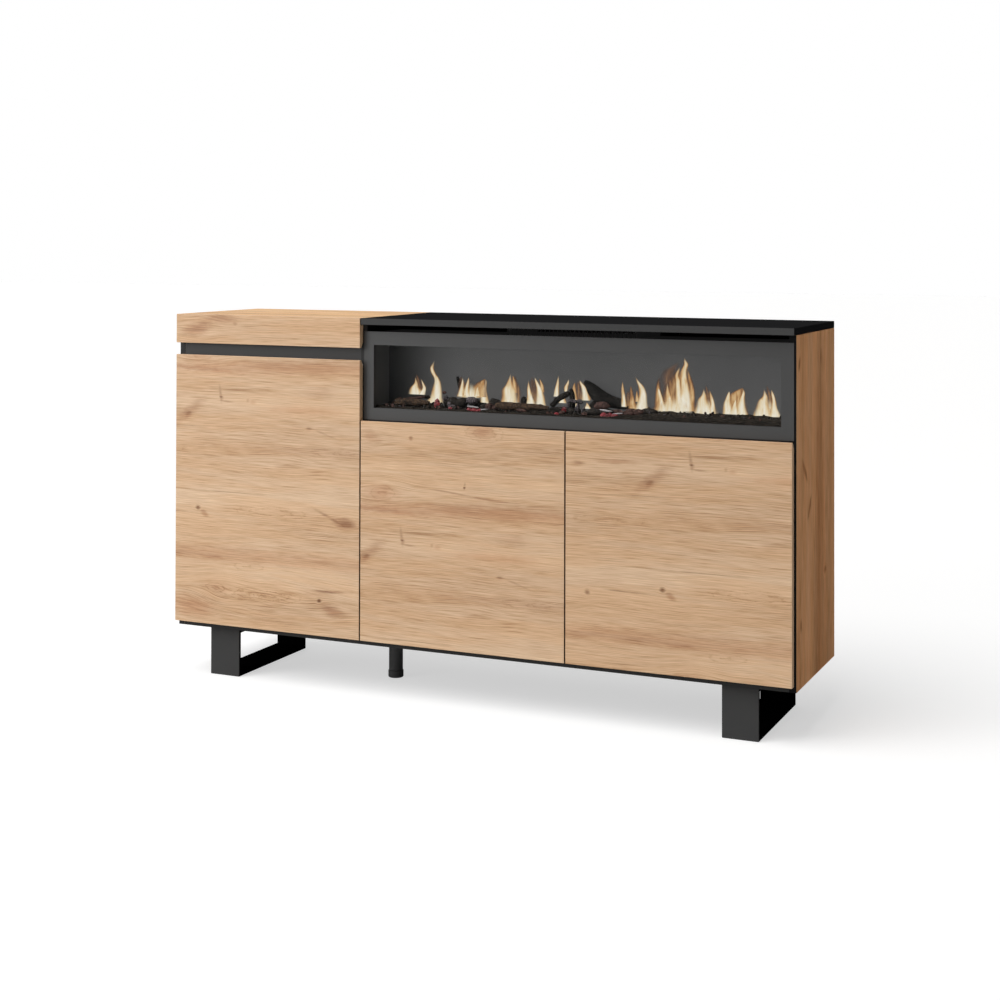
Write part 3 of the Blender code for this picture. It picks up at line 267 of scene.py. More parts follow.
def draw_figures(t, place, ragged, across, figures):
    """How dark and how red the figures make the oak, and the place across the grain, bent round them."""
    dark = 0.0
    red = 0.0
    for along, up, half, height, tilt, darkness, redness, bend in figures:
        sizes = (1 / half, 1 / height, 1 / FIGURE_DEPTH)
        near = t.stretch(place, sizes, (along, up, 0), math.radians(tilt))
        reach = t.math("ADD", t.vector("LENGTH", near), ragged)
        spread = t.fade(reach, 1.9, 0.2)
        dark = t.plus(dark, spread, darkness)
        red = t.plus(red, spread, redness)
        if bend:
            sizes = (BEND_ALONG / half, BEND_ACROSS / height, 1 / FIGURE_DEPTH)
            wide = t.stretch(place, sizes, (along, up, 0))
            pull = t.fade(t.vector("LENGTH", wide), 1.5, 0.0, 0.0, -bend * height / BEND_ACROSS)
            across = t.plus(across, pull, t.split(wide)[Y])
    return dark, red, across


def draw_loops(t, place, ragged, loops):
    """How dark the nested rings of grain are."""
    drawn = 0.0
    for along, up, half, height, rings, darkness in loops:
        near = t.stretch(place, (1 / half, 1 / height, 1 / FIGURE_DEPTH), (along, up, 0))
        reach = t.plus(t.vector("LENGTH", near), ragged, 0.36)
        ring = t.math("PINGPONG", t.times(reach, rings), 0.5)
        line = t.times(t.fade(ring, 0.3, 0.5), t.fade(reach, 1.1, 0.75))
        drawn = t.plus(drawn, line, darkness)
    return drawn


def oak_group(name, figures, loops):
    """The oak decor: takes a place in decor coordinates, gives colour, roughness and height."""
    group = bpy.data.node_groups.new(name, "ShaderNodeTree")
    group.interface.new_socket("Place", in_out="INPUT", socket_type="NodeSocketVector")
    for result, kind in (("Colour", "Color"), ("Roughness", "Float"), ("Height", "Float")):
        group.interface.new_socket(result, in_out="OUTPUT", socket_type="NodeSocket" + kind)
    t = Tree(group)
    place = group.nodes.new("NodeGroupInput").outputs[0]

    ragged = t.plus(-0.65, t.noise(place, (45, 190, 190), detail=3, roughness=0.65), 1.3)
    wave = t.noise(place, (1.6, 6, 6), detail=1)
    ripple = t.noise(place, (7, 30, 30))
    across = t.vary(t.split(place)[Y], wave, 0.02)
    across = t.vary(across, ripple, 0.0045)
    dark, red, across = draw_figures(t, place, ragged, across, figures)
    along = t.split(place)[X]
    grain = t.add("CombineXYZ", {0: along, 1: across, 2: t.split(place)[Z]}).outputs[0]

    broad = t.noise(grain, (0.9, 14, 14))
    streak = t.noise(grain, (2.6, 110, 110), roughness=0.55)
    line = t.noise(grain, (4.5, 230, 230), detail=3, roughness=0.7)
    fibre = t.noise(grain, (13, 700, 700), roughness=0.65)
    drawn_here = t.fade(t.noise(grain, (1.7, 20, 20), (0.3, 0.8, 0.5)), 0.4, 0.64, 0.2)
    thin = t.times(t.fade(line, 0.52, 0.74), drawn_here)
    ring_line = draw_loops(t, place, ragged, loops)

    torn = t.plus(t.fade(streak, 0.66, 0.36, 0.0, 0.6), t.fade(line, 0.6, 0.4), 0.8)
    dark = t.times(dark, torn)
    tone = t.vary(0.585, broad, 0.9)
    tone = t.vary(tone, streak, 0.12)
    tone = t.plus(tone, thin, -0.38)
    tone = t.vary(tone, fibre, 1.45)
    tone = t.plus(tone, ring_line, -0.52)
    hue = t.noise(grain, (2.4, 26, 26), (0.4, 0.9, 0.2), detail=4, roughness=0.65)
    warm = t.mix(t.fade(hue, 0.38, 0.62), (1.045, 1.055, 1.055), (1.055, 1.015, 0.95))
    colour = t.mix(1.0, t.ramp(tone, OAK_COLOURS), warm, "MULTIPLY")
    reddened = t.math("MINIMUM", t.times(red, 0.6), 0.8)
    colour = t.mix(reddened, colour, (0.82, 0.6, 0.5), "MULTIPLY")
    colour = t.mix(t.math("MINIMUM", dark, 0.95), colour, (0.26, 0.16, 0.105), "MULTIPLY")

    output = group.nodes.new("NodeGroupOutput")
    t.plug(output.inputs[0], colour)
    t.plug(output.inputs[1], t.plus(0.42, streak, 0.16))
    t.plug(output.inputs[2], t.noise(place, (14, 620, 620), detail=3, roughness=0.65))
    return group


# How near another piece has to stand for the edge of a front to be darkened by painted shade, as in a gap
GAP_SHADE_REACH = 0.006


def oak(name, turn, offset, figures, loops=(), tint=None, depth=1.0, specular=0.3, dark_front=False,
        painted_edge_light_and_gap_shade=False, inner_side=0):
    """An oak-decor board. turn brings the board's grain onto X and offset picks its cut from the decor."""
    made, t, spot = new_material(name)
    mapping = t.add("Mapping", {"Vector": spot, "Rotation": turn, "Location": offset})
    group = oak_group(name + "_decor", figures, loops)
    decor = t.add("Group", {0: mapping.outputs[0]}, node_tree=group)
    colour = t.add("Gamma", {0: decor.outputs[0], 1: depth}).outputs[0]
    if tint:
        colour = t.mix(1.0, colour, tint, "MULTIPLY")
    # Inward faces keep the plain decor, so the right side's tint and depth, which are painted shade, stay on
    # its outside.
    if inner_side:
        inward = t.times(t.facing(X), inner_side)
        colour = t.mix(t.fade(inward, 0.4, 0.8), colour, decor.outputs[0])
    if dark_front:
        colour = t.mix(t.fade(t.facing(Y), -0.4, -0.8), colour, grey(34))
    if painted_edge_light_and_gap_shade:
        sideways = t.facing(X)
        # Painted light: edges that face right are paler, standing in for light falling on them.
        colour = t.mix(t.fade(sideways, 0.6, 0.9), colour, linear(242, 202, 160))
        # Painted shade: edges in a narrow gap beside another piece are darkened almost to black.
        open_share = t.add("AmbientOcclusion", {"Distance": GAP_SHADE_REACH}, samples=8).outputs["AO"]
        on_edge = t.fade(t.math("ABSOLUTE", sideways), 0.6, 0.9)
        painted_gap_shade = t.times(t.fade(open_share, 0.9, 0.35), on_edge)
        colour = t.mix(painted_gap_shade, colour, linear(24, 10, 3))
    t.shade({
        "Base Color": colour,
        "Roughness": decor.outputs[1],
        "Specular IOR Level": specular,
        "Normal": t.bump(decor.outputs[2], 0.0004, 0.25),
    })
    return made


def decor_board(name, colour, edge=None, roughness=0.5, specular=0.3):
    """A dark decor board with a faint press texture; its front edge may have its own banding."""
    made, t, spot = new_material(name)
    cloud = t.noise(spot, 6, detail=3)
    speck = t.noise(spot, 900)
    share = t.plus(t.times(cloud, 0.4), speck, 0.6)
    tone = t.mottle(share, colour, 0.86, 1.14)
    if edge:
        tone = t.mix(t.fade(t.facing(Y), -0.6, -0.8), tone, edge)
    t.shade({
        "Base Color": tone,
        "Roughness": t.plus(roughness - 0.06, cloud, 0.12),
        "Specular IOR Level": specular,
        "Normal": t.bump(speck, 0.00012, 0.6),
    })
    return made


def paint(name, colour, grain=1200, roughness=0.45, depth=0.00012, metallic=0.0, specular=0.5, sides=None):
    """Powder coat or moulded plastic with a fine orange peel. Its sides may be darker than its ends, as
    painted shade.
    """
    made, t, spot = new_material(name)
    peel = t.noise(spot, grain, detail=1)
    cloud = t.noise(spot, 9, detail=3)
    share = t.plus(t.times(cloud, 0.7), peel, 0.3)
    tone = t.mottle(share, colour, 0.9, 1.1)
    # Painted shade: faces that do not face outward along Y, such as sides and inner faces, take the darker
    # sides colour.
    if sides:
        outward = t.times(t.facing(Y), t.split(spot)[Y])
        tone = t.mix(t.fade(outward, 0.08, 0.12), sides, tone)
    t.shade({
        "Base Color": tone,
        "Roughness": t.plus(roughness - 0.07, cloud, 0.14),
        "Metallic": metallic,
        "Specular IOR Level": specular,
        "Normal": t.bump(peel, depth, 0.7),
    })
    return made


def brushed(name, colour, roughness=0.34):
    """Plated or brushed metal with fine lines along its length."""
    made, t, spot = new_material(name)
    line = t.noise(spot, (900, 900, 40))
    cloud = t.noise(spot, 30, detail=3)
    t.shade({
        "Base Color": t.mottle(cloud, colour, 0.8, 1.0),
        "Roughness": t.plus(roughness - 0.1, line, 0.2),
        "Metallic": 1.0,
        "Normal": t.bump(line, 0.00005, 0.5),
    })
    return made


ZINC = brushed("zinc_plate", linear(176, 178, 180))
PINS = brushed("nickel_pins", linear(190, 188, 184), 0.28)


def dress(material, *names):
    """Gives CAD nodes a material."""
    for name in names:
        for slot in NODES[name].material_slots:
            slot.material = material


# Turns that bring a board's grain onto X
FACE_ON = (math.radians(-90), 0, 0)
LYING = (0, 0, 0)
UPRIGHT = (0, math.radians(90), 0)

# Each front's cut of the decor: how far it is moved along the grain and across it, and its depth of colour.
# The other cuts are moved along the grain, across it and through the board.
FRONT_CUTS = {
    "left_door": (0.622, -0.662, 0.99),
    "middle_door": (0.141, -0.36, 1.02),
    "right_door": (-0.534, -0.566, 1.02),
    "drawer_front": (0.68, -0.446, 1.06),
}
TOP_CUT = (0.35, 0.7, -0.85)
RIGHT_SIDE_CUT = (0.2, -0.9, 0.75)
LEFT_SIDE_CUT = (0.14, -0.93, -0.75)
TOP_LOOK = {"tint": (1.2, 1.16, 1.0), "depth": 1.16, "specular": 0.12}
# The right side's outside is a deeper, warmer copy of the decor: painted shade.
RIGHT_SIDE_SHADED_LOOK = {"tint": (1.42, 1.26, 1.18), "depth": 1.4, "specular": 0.0, "inner_side": -1}

SHELVES = ("left_shelf_lower", "left_shelf_upper", "middle_shelf", "right_shelf")
LEVELS = ("lower", "upper")

# Which way along X each bay's door reaches from its hinges
HINGES = {"left": 1, "middle": 1, "right": -1}


def dress_oak():
    """Each front shows its own cut of one decor, and so do the left top and the sides."""
    for node, (along, up, depth) in FRONT_CUTS.items():
        low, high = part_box(node)
        cut = (low[X] + along, high[X] + along, low[Z] + up, high[Z] + up)
        figures = figures_within(OAK_FIGURES, *cut)
        loops = figures_within(OAK_LOOPS, *cut)
        dress(oak("oak_" + node, FACE_ON, (along, up, 0), figures, loops, depth=depth, painted_edge_light_and_gap_shade=True), node)
    dress(oak("oak_top", LYING, TOP_CUT, TOP_FIGURES, **TOP_LOOK), "left_top_panel")
    side = oak("oak_right_side_painted_shade", UPRIGHT, RIGHT_SIDE_CUT, SIDE_FIGURES, dark_front=True, **RIGHT_SIDE_SHADED_LOOK)
    dress(side, "right_side_panel")
    side = oak("oak_left_side", UPRIGHT, LEFT_SIDE_CUT, SIDE_FIGURES, dark_front=True)
    dress(side, "left_side_panel")


def dress_boards():
    """The dark boards and the pale drawer box."""
    black = decor_board("black_board", grey(40), grey(44))
    dress(black, "bay_divider", "bottom_panel", "fireplace_deck", "centre_partition", *SHELVES)
    dress(decor_board("black_top", linear(33, 33, 34), grey(74), 0.7, 0.0), "fireplace_top_panel")
    dress(decor_board("channel_board", grey(72)), "grip_rail")
    dress(decor_board("backing", grey(60), None, 0.8, 0.2), "left_back_panel", "right_back_panel")
    pale = decor_board("drawer_board", linear(196, 196, 192), None, 0.55)
    dress(pale, "drawer_left_side", "drawer_right_side", "drawer_back", "drawer_bottom")


def dress_metal():
    """The fascia, the feet, the runners and the hinges."""
    dress(paint("fascia_paint", grey(68), 1500, 0.5, specular=0.48), "fireplace_fascia")
    # The leg frames' sides and inner faces are painted shade, near black.
    legs = paint("leg_paint", grey(70), 1100, 0.6, 0.0002, specular=0.0, sides=grey(8))
    dress(legs, "left_leg_frame", "right_leg_frame")
    dress(paint("foot_plastic", grey(76), 700), "centre_foot_tube", "centre_foot_base")
    dress(ZINC, "cabinet_runner_left", "cabinet_runner_right", "drawer_runner_left", "drawer_runner_right")
    for bay in HINGES:
        for level in LEVELS:
            dress(ZINC, f"{bay}_hinge_arm_{level}", f"{bay}_hinge_cup_{level}")


# The window's lower left corner, from the fascia's, and the fronts of the ember bed and of the screen
FASCIA_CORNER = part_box("fireplace_fascia")[0]
WINDOW_LEFT = FASCIA_CORNER[X] + 0.0246
WINDOW_LOW = FASCIA_CORNER[Z] + 0.0267
BED_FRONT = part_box("ember_bed")[0][Y]
SCREEN_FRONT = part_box("flame_screen")[0][Y]

# Flames: how hot each burns, how far it stands before the screen, and the points of its line from root to
# tip, as (right of the window's left edge, above its lower edge, half width), in millimetres
SMOKE = 0.2
AMBER = 0.55
HOT = 1.0
CORE = 1.2
FLAMES = [
    (SMOKE, 2, (67, 28, 9), (67, 44, 7), (61, 62, 5), (57, 74, 0)),
    (HOT, 4, (58, 25, 17), (57, 33, 15), (55, 41, 10), (58, 52, 4), (55, 67, 0)),
    (HOT, 4, (73, 25, 8), (79, 39, 4.5), (77, 48, 3), (70, 63, 0)),
    (HOT, 4, (105, 7, 20), (109, 18, 15), (112, 35, 11.5), (113, 53, 8), (110, 65, 5.5), (103, 75, 5),
        (99, 86, 4.5), (101, 94, 3.5), (106, 105, 0)),
    (SMOKE, 38, (197, 30, 20), (196, 51, 13), (190, 67, 5), (191, 75, 0)),
    (AMBER, 41, (235, 29, 16), (235, 48, 15), (240, 59, 12), (247, 67, 5), (250, 71, 0)),
    (CORE, 43, (212, 27, 27), (213, 35, 25), (214, 47, 20), (214, 59, 10)),
    (HOT, 43, (192, 29, 9), (193, 45, 5.5), (195, 59, 3), (196, 72, 0)),
    (HOT, 43, (205, 31, 8), (206, 47, 5), (209, 62, 3), (211, 74, 0)),
    (HOT, 43, (232, 31, 6), (232, 43, 4), (232, 53, 0)),
    (HOT, 39, (249, 12, 10), (247, 29, 8), (247, 47, 5), (250, 63, 3), (251, 69, 0)),
    (SMOKE, 2, (314, 17, 7), (314, 46, 6), (308, 66, 3), (306, 80, 0)),
    (AMBER, 3, (303, 38, 9), (305, 57, 6), (303, 71, 2.5), (301, 78, 0)),
    (AMBER, 3, (280, 13, 8), (281, 28, 6), (283, 44, 4), (288, 60, 0)),
    (HOT, 4, (295, 13, 19), (295, 28, 16), (293, 44, 15), (294, 55, 9), (295, 67, 4.5), (297, 82, 0)),
    (SMOKE, 2, (356, 20, 14), (355, 42, 13), (350, 60, 9), (347, 78, 0)),
    (HOT, 4, (346, 12, 12), (344, 30, 6.5), (341, 48, 4), (340, 68, 0)),
    (AMBER, 3, (373, 42, 5), (372, 58, 4), (366, 74, 0)),
    (HOT, 4, (370, 10, 12), (369, 32, 9), (366, 50, 6), (359, 66, 3), (355, 76, 0)),
    (HOT, 4, (407, 34, 6), (409, 51, 4.5), (411, 64, 3), (413, 82, 0)),
    (HOT, 4, (430, 46, 3), (431, 56, 4), (435, 65, 2.5), (437, 74, 0)),
    (HOT, 4, (421, 20, 10), (423, 31, 4.5), (424, 39, 0)),
    (SMOKE, 2, (463, 30, 12), (462, 48, 9), (459, 62, 5), (459, 72, 0)),
    (AMBER, 3, (452, 26, 7), (450, 46, 5), (450, 59, 3), (452, 68, 0)),
    (AMBER, 3, (484, 30, 5), (482, 50, 4.5), (477, 61, 3.5), (471, 69, 0)),
    (HOT, 4, (478, 28, 9), (476, 44, 7), (472, 57, 5.5), (466, 66, 3), (463, 73, 0)),
    (HOT, 4, (450, 8, 10), (451, 24, 8), (454, 34, 0)),
    (HOT, 4, (482, 10, 8), (482, 17, 4), (480, 24, 0)),
    (SMOKE, 43, (591, 24, 12), (591, 44, 8), (591, 58, 0)),
    (HOT, 45, (582, 22, 6), (581, 43, 4), (579, 61, 2.7), (579, 79, 0)),
    (AMBER, 44, (602, 19, 10), (600, 39, 5.5), (598, 56, 3.5), (597, 70, 0)),
    (AMBER, 44, (612, 34, 5), (611, 47, 3), (611, 60, 0)),
    (HOT, 45, (621, 13, 15), (624, 36, 10), (625, 52, 8), (621, 67, 6), (614, 77, 3), (607, 89, 0)),
    (SMOKE, 2, (677, 20, 18), (677, 52, 20), (671, 76, 20), (670, 94, 17), (680, 108, 12), (692, 120, 4)),
    (SMOKE, 2, (647, 20, 9), (646, 50, 8), (646, 72, 5), (648, 88, 0)),
    (AMBER, 3, (649, 14, 11), (646, 38, 7), (645, 56, 5), (645, 69, 3), (647, 80, 0)),
    (HOT, 4, (656, 13, 8), (652, 36, 5), (648, 54, 3), (646, 62, 0)),
    (HOT, 4, (672, 13, 11), (671, 35, 6.5), (668, 52, 4.5), (666, 74, 0)),
    (AMBER, 1, (685, 14, 34), (686, 46, 30), (689, 78, 18), (692, 102, 6)),
    (CORE, 5, (679, 11, 40), (680, 20, 36), (682, 30, 27), (684, 42, 14)),
    (HOT, 4, (695, 14, 12), (694, 40, 8.5), (692, 61, 6), (690, 79, 5), (688, 90, 4), (691, 100, 3),
        (695, 110, 0)),
    (AMBER, 3, (718, 15, 9), (721, 41, 7), (721, 62, 6), (716, 84, 5), (711, 108, 0)),
    (HOT, 5, (708, 14, 13), (708, 40, 11), (707, 62, 9), (704, 84, 7), (704, 101, 6), (709, 114, 5),
        (707, 122, 3), (705, 130, 0)),
    (SMOKE, 2, (761, 30, 6), (758, 48, 7), (754, 64, 3), (752, 74, 0)),
    (HOT, 4, (747, 9, 20), (747, 25, 14), (746, 40, 10), (749, 51, 5), (748, 65, 0)),
    (CORE, 3, (757, 9, 20), (757, 24, 16), (757, 42, 8)),
    (HOT, 4, (766, 10, 8), (768, 31, 4.5), (765, 46, 3.5), (761, 63, 0)),
    (AMBER, 3, (819, 12, 22), (819, 34, 20), (820, 49, 18), (824, 58, 14), (831, 66, 6), (833, 70, 0)),
    (HOT, 4, (802, 12, 10), (801, 32, 8), (802, 44, 5.5), (804, 56, 2.5), (805, 61, 0)),
    (HOT, 4, (815, 12, 10), (817, 31, 5), (820, 47, 0)),
    (HOT, 4, (833, 9, 12), (831, 28, 8.5), (833, 46, 5), (836, 58, 3), (836, 67, 0)),
    (SMOKE, 2, (895, 36, 6), (893, 52, 6), (888, 68, 3), (886, 78, 0)),
    (HOT, 4, (878, 10, 20), (878, 28, 13), (879, 43, 10), (883, 54, 5), (880, 69, 0)),
    (CORE, 3, (892, 10, 20), (891, 28, 16), (890, 48, 8)),
    (HOT, 4, (905, 11, 12), (903, 29, 6), (902, 44, 4), (899, 58, 3), (896, 69, 0)),
]

# By heat: where a flame starts to fade across and along, and how solid its middle is
FLAME_FORMS = {
    SMOKE: (0.0, 0.66, 0.5),
    AMBER: (0.36, 0.66, 0.97),
    HOT: (0.36, 0.66, 0.97),
    CORE: (0.1, 0.3, 0.85),
}
FLAME_COLOURS = (
    (0.0, (98, 74, 60)), (0.2, (132, 98, 74)), (0.4, (190, 144, 94)), (0.6, (226, 190, 140)),
    (0.78, (244, 226, 188)), (1.0, (255, 248, 228)),
)

# A flame's sheet: its grid, how much wider than the tongue it is, since it fades at its edges, and in
# millimetres its least half width, its step ahead of the last flame's, its bulge and its thickness
FLAME_ROWS = 22
FLAME_COLUMNS = 8
FLAME_WIDENING = 1.3
FLAME_TIP = 0.35
FLAME_STAGGER = 0.22
FLAME_BULGE = 0.12
FLAME_THICKNESS = 0.02


def along_curve(points, share):
    """A place on the smooth curve through the points."""
    place = share * (len(points) - 1)
    step = min(int(place), len(points) - 2)
    local = place - step
    before, start, end, after = (points[max(0, min(len(points) - 1, step + k))] for k in (-1, 0, 1, 2))
    found = []
    for p0, p1, p2, p3 in zip(before, start, end, after):
        bend = (2 * p0 - 5 * p1 + 4 * p2 - p3) * local ** 2 + (3 * p1 - p0 - 3 * p2 + p3) * local ** 3
        found.append(0.5 * (2 * p1 + (p2 - p0) * local + bend))
    return found


def place_piece(name, solid, material, body="cabinet"):
    """Turns a bmesh into a piece of the scene that rides on a body."""
    bmesh.ops.recalc_face_normals(solid, faces=solid.faces)
    mesh = bpy.data.meshes.new(name)
    solid.to_mesh(mesh)
    solid.free()
    mesh.polygons.foreach_set("use_smooth", [True] * len(mesh.polygons))
    mesh.materials.append(material)
    made = bpy.data.objects.new(name, mesh)
    scene.collection.objects.link(made)
    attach(made, body)
    return made


def flame_material(name, heat):
    """A flame's glow: pale at the root, tan and smoky towards the tip, clear at its edges."""
    made, t, spot = new_material(name)
    across, along, _ = t.split(t.add("UVMap", {}, uv_map="tongue").outputs[0])
    streak = t.noise(spot, (170, 170, 32), distortion=0.4)
    side = t.math("ABSOLUTE", t.plus(-1, across, 2))
    cooling = t.times(t.times(side, side), t.plus(0.36, along, 0.62))
    warmth = t.math("SUBTRACT", 0.14 + 0.82 * min(heat, 1), cooling)
    warmth = t.plus(warmth, along, -0.26)
    warmth = t.vary(warmth, streak, 0.9)
    fade_across, fade_along, solidity = FLAME_FORMS[heat]
    edge = t.vary(side, streak, 0.5)
    shown = t.times(t.fade(edge, 1.0, fade_across), t.fade(along, 1.0, fade_along, 0.03))
    t.shade({
        "Emission Color": t.ramp(warmth, FLAME_COLOURS),
        "Emission Strength": 0.88,
        "Base Color": (0, 0, 0, 1),
        "Roughness": 1.0,
        "Specular IOR Level": 0.0,
        "Alpha": t.times(shown, solidity),
    })
    return made


def flame_sheet(solid, shares, line, front, bulge):
    """Adds one side of a flame, row by row, and notes each vertex's share across and along it."""
    rows = []
    for step in range(FLAME_ROWS + 1):
        x, z, half = along_curve(line, step / FLAME_ROWS)
        half = max(half, FLAME_TIP) * FLAME_WIDENING
        row = []
        for column in range(FLAME_COLUMNS + 1):
            across = 2 * column / FLAME_COLUMNS - 1
            y = front + bulge * (1 - across ** 2) * MM
            vertex = solid.verts.new((WINDOW_LEFT + (x + across * half) * MM, y, WINDOW_LOW + z * MM))
            shares[vertex] = (column / FLAME_COLUMNS, step / FLAME_ROWS)
            row.append(vertex)
        rows.append(row)
    for low, high in zip(rows, rows[1:]):
        for k in range(FLAME_COLUMNS):
            solid.faces.new((low[k], low[k + 1], high[k + 1], high[k]))
    return rows


def edge_of(rows):
    """The vertices round a sheet, in order."""
    right = [row[-1] for row in rows[1:-1]]
    left = [row[0] for row in rows[-2:0:-1]]
    return rows[0] + right + rows[-1][::-1] + left


def build_flames():
    """Thin closed sheets at the screen and among the logs."""
    looks = {heat: flame_material(f"flame_{round(heat * 10)}", heat) for heat in FLAME_FORMS}
    for number, (heat, ahead_of, *line) in enumerate(FLAMES):
        solid = bmesh.new()
        layer = solid.loops.layers.uv.new("tongue")
        shares = {}
        front = SCREEN_FRONT - (ahead_of + FLAME_STAGGER * (number % 5)) * MM
        ahead = edge_of(flame_sheet(solid, shares, line, front, -FLAME_BULGE))
        behind = edge_of(flame_sheet(solid, shares, line, front + FLAME_THICKNESS * MM, FLAME_BULGE))
        for k, vertex in enumerate(ahead):
            following = (k + 1) % len(ahead)
            solid.faces.new((vertex, ahead[following], behind[following], behind[k]))
        for face in solid.faces:
            for loop in face.loops:
                loop[layer].uv = shares[loop.vert]
        flame = place_piece(f"flame_{number + 1:02d}", solid, looks[heat])
        flame.visible_shadow = False


# Where the three colours of coals and bark lie on their ramp
COAL_STOPS = (0.2, 0.55, 0.9)


def coal_material(name, colours, scale=1.0, glow=None):
    """Cast coals and bark: mottled, cracked and rough, with a glow in their hollows if they are alight."""
    made, t, spot = new_material(name)
    cloud = t.noise(spot, 90 * scale, detail=4, roughness=0.65)
    crack = t.cracks(t.stretch(spot, (210 * scale, 260 * scale, 260 * scale)))
    grit = t.noise(spot, 700 * scale)
    tone = t.plus(t.math("SUBTRACT", cloud, 0.2), grit, 0.35)
    tone = t.plus(tone, t.fade(crack, 0.0, 0.16), 0.35)
    t.shade({
        "Base Color": t.ramp(tone, list(zip(COAL_STOPS, colours))),
        "Roughness": t.plus(0.75, grit, 0.2),
        "Specular IOR Level": 0.25,
        "Normal": t.bump(tone, 0.0014, 0.8),
    })
    if glow:
        dull, bright = (linear(*levels) for levels in glow)
        patch = t.noise(spot, 120, (0.3, 0.1, 0.2), detail=3, roughness=0.6)
        t.shade({
            "Emission Color": t.mix(t.fade(patch, 0.55, 0.75), dull, bright),
            "Emission Strength": t.fade(patch, 0.36, 0.54),
        })
    return made


# A lump is a ball cut flat on this many sides, this far from its middle and by this share
LUMP_SIDES = 7
LUMP_CUT = 0.72
LUMP_FLATNESS = 0.85


def lump(solid, place, size, turn, seed, fineness=2):
    """Adds one closed, faceted and pitted lump to the mesh."""
    made = bmesh.ops.create_icosphere(solid, subdivisions=fineness, radius=1.0)["verts"]
    shift = Vector((seed * 3.7, seed * 1.3, seed * 2.1))
    sides = [noise.random_unit_vector() for _ in range(LUMP_SIDES)]
    turned_by = Euler(turn).to_matrix()
    for vertex in made:
        point = vertex.co.copy()
        for side in sides:
            over = point.dot(side) - LUMP_CUT
            if over > 0:
                point -= side * over * LUMP_FLATNESS
        point *= 1 + 0.16 * noise.noise(point * 2.3 + shift) + 0.06 * noise.noise(point * 6 + shift)
        point = Vector(point[k] * size[k] for k in range(3))
        vertex.co = turned_by @ point + Vector(place)


BED = NODES["ember_bed"]
BED_TREE = BVHTree.FromPolygons([v.co for v in BED.data.vertices], [p.vertices for p in BED.data.polygons])


def bed_height(x, y):
    """How high the ember bed is at a place."""
    hit = BED_TREE.ray_cast(Vector((x, y, 1)), Vector((0, 0, -1)))[0]
    return hit.z if hit else WINDOW_LOW


# Lumps on the bed by kind: right of the window's left edge, behind the bed's front, above the bed and
# half sizes, in millimetres, and turn about the upright axis in degrees
LUMPS = {
    "char": [
        (154, 50, 9, 10, 8, 11, 10), (170, 46, 11, 17, 9, 13, 0), (192, 44, 13, 15, 9, 13, 5),
        (268, 58, 15, 17, 9, 13, 4), (334, 70, 18, 9, 6, 12, 0), (290, 50, 8, 14, 8, 8, 0),
        (430, 40, 6, 24, 8, 8, -3), (462, 36, 4, 11, 8, 8, 0), (250, 44, 5, 12, 7, 7, 12),
        (500, 26, 3, 10, 7, 6, 0), (520, 30, 8, 24, 8, 9, 0), (548, 28, 6, 20, 8, 7, -8),
        (640, 40, 3, 22, 9, 7, -12), (566, 30, 4, 16, 8, 7, 0), (146, 20, 3, 6, 5, 4, 0),
        (70, 30, 2, 10, 6, 4, 0), (186, 16, 2, 8, 6, 4, 0), (420, 26, 3, 8, 6, 6, 20),
    ],
    "rock": [
        (153, 46, 22, 8, 6, 7, 0), (170, 30, 6, 6, 5, 9, 0), (222, 38, 18, 19, 7, 8, -4),
        (180, 26, 3, 7, 6, 5, 0), (466, 46, 27, 20, 6, 4.5, 3), (474, 42, 12, 6, 6, 13, 0),
        (452, 46, 14, 5, 5, 12, 8), (488, 40, 8, 5, 5, 8, 0),
    ],
    "rust": [
        (142, 60, 30, 7, 4, 4, -30), (38, 40, 14, 6, 5, 5, 0), (266, 34, 6, 11, 7, 8, 0),
        (284, 28, 4, 9, 6, 6, 0), (618, 30, 3, 16, 8, 8, -4), (600, 34, 6, 12, 8, 8, 0),
        (352, 18, 4, 14, 5, 5, 0), (386, 44, 12, 9, 5, 5, 0), (196, 14, 3, 7, 5, 4, 0),
        (536, 27, 19, 20, 8, 10, -3), (574, 28, 6, 16, 8, 9, -8), (598, 26, 4, 13, 7, 7, -6),
        (500, 18, 2, 8, 6, 5, 0), (446, 24, 2, 8, 6, 5, 0),
    ],
    "ember": [
        (139, 28, 9, 7, 5, 12, 4), (226, 14, 1, 7, 5, 5, 0), (238, 12, 1, 8, 5, 6, 20),
        (250, 14, 1, 8, 5, 5, 0), (448, 30, 8, 6, 5, 6, 0), (546, 12, 1, 8, 5, 6, 0),
        (558, 12, 1, 8, 5, 6, 20), (570, 12, 0, 9, 4, 5, 0), (436, 14, 0, 6, 5, 4, 0),
        (180, 12, 0, 6, 5, 3, 0),
    ],
    "ash": [
        (236, 12, 9, 19, 2.2, 2.0, -6), (262, 12, 3, 14, 2.0, 1.4, -10), (552, 12, 11, 17, 2.2, 2.0, -6),
        (578, 11, 4, 14, 2.0, 1.4, -12),
    ],
}

# The small lumps scattered over the bed: how many of each kind, and in millimetres where they start, how
# far they spread, how far back they lie and their size. All but the char crowd to the left, and they are
# smaller from a place on.
SCATTERED = {"char": 150, "rust": 34, "rock": 9, "ember": 0, "ash": 0}
SCATTER_START = 8
SCATTER_SPREAD = 926
SCATTER_CROWDING = 2.1
SCATTER_BACK = (5, 80)
SCATTER_SIZE = (2.0, 5.6)
SMALLER_FROM = 560
SMALLER_SHARE = 0.72

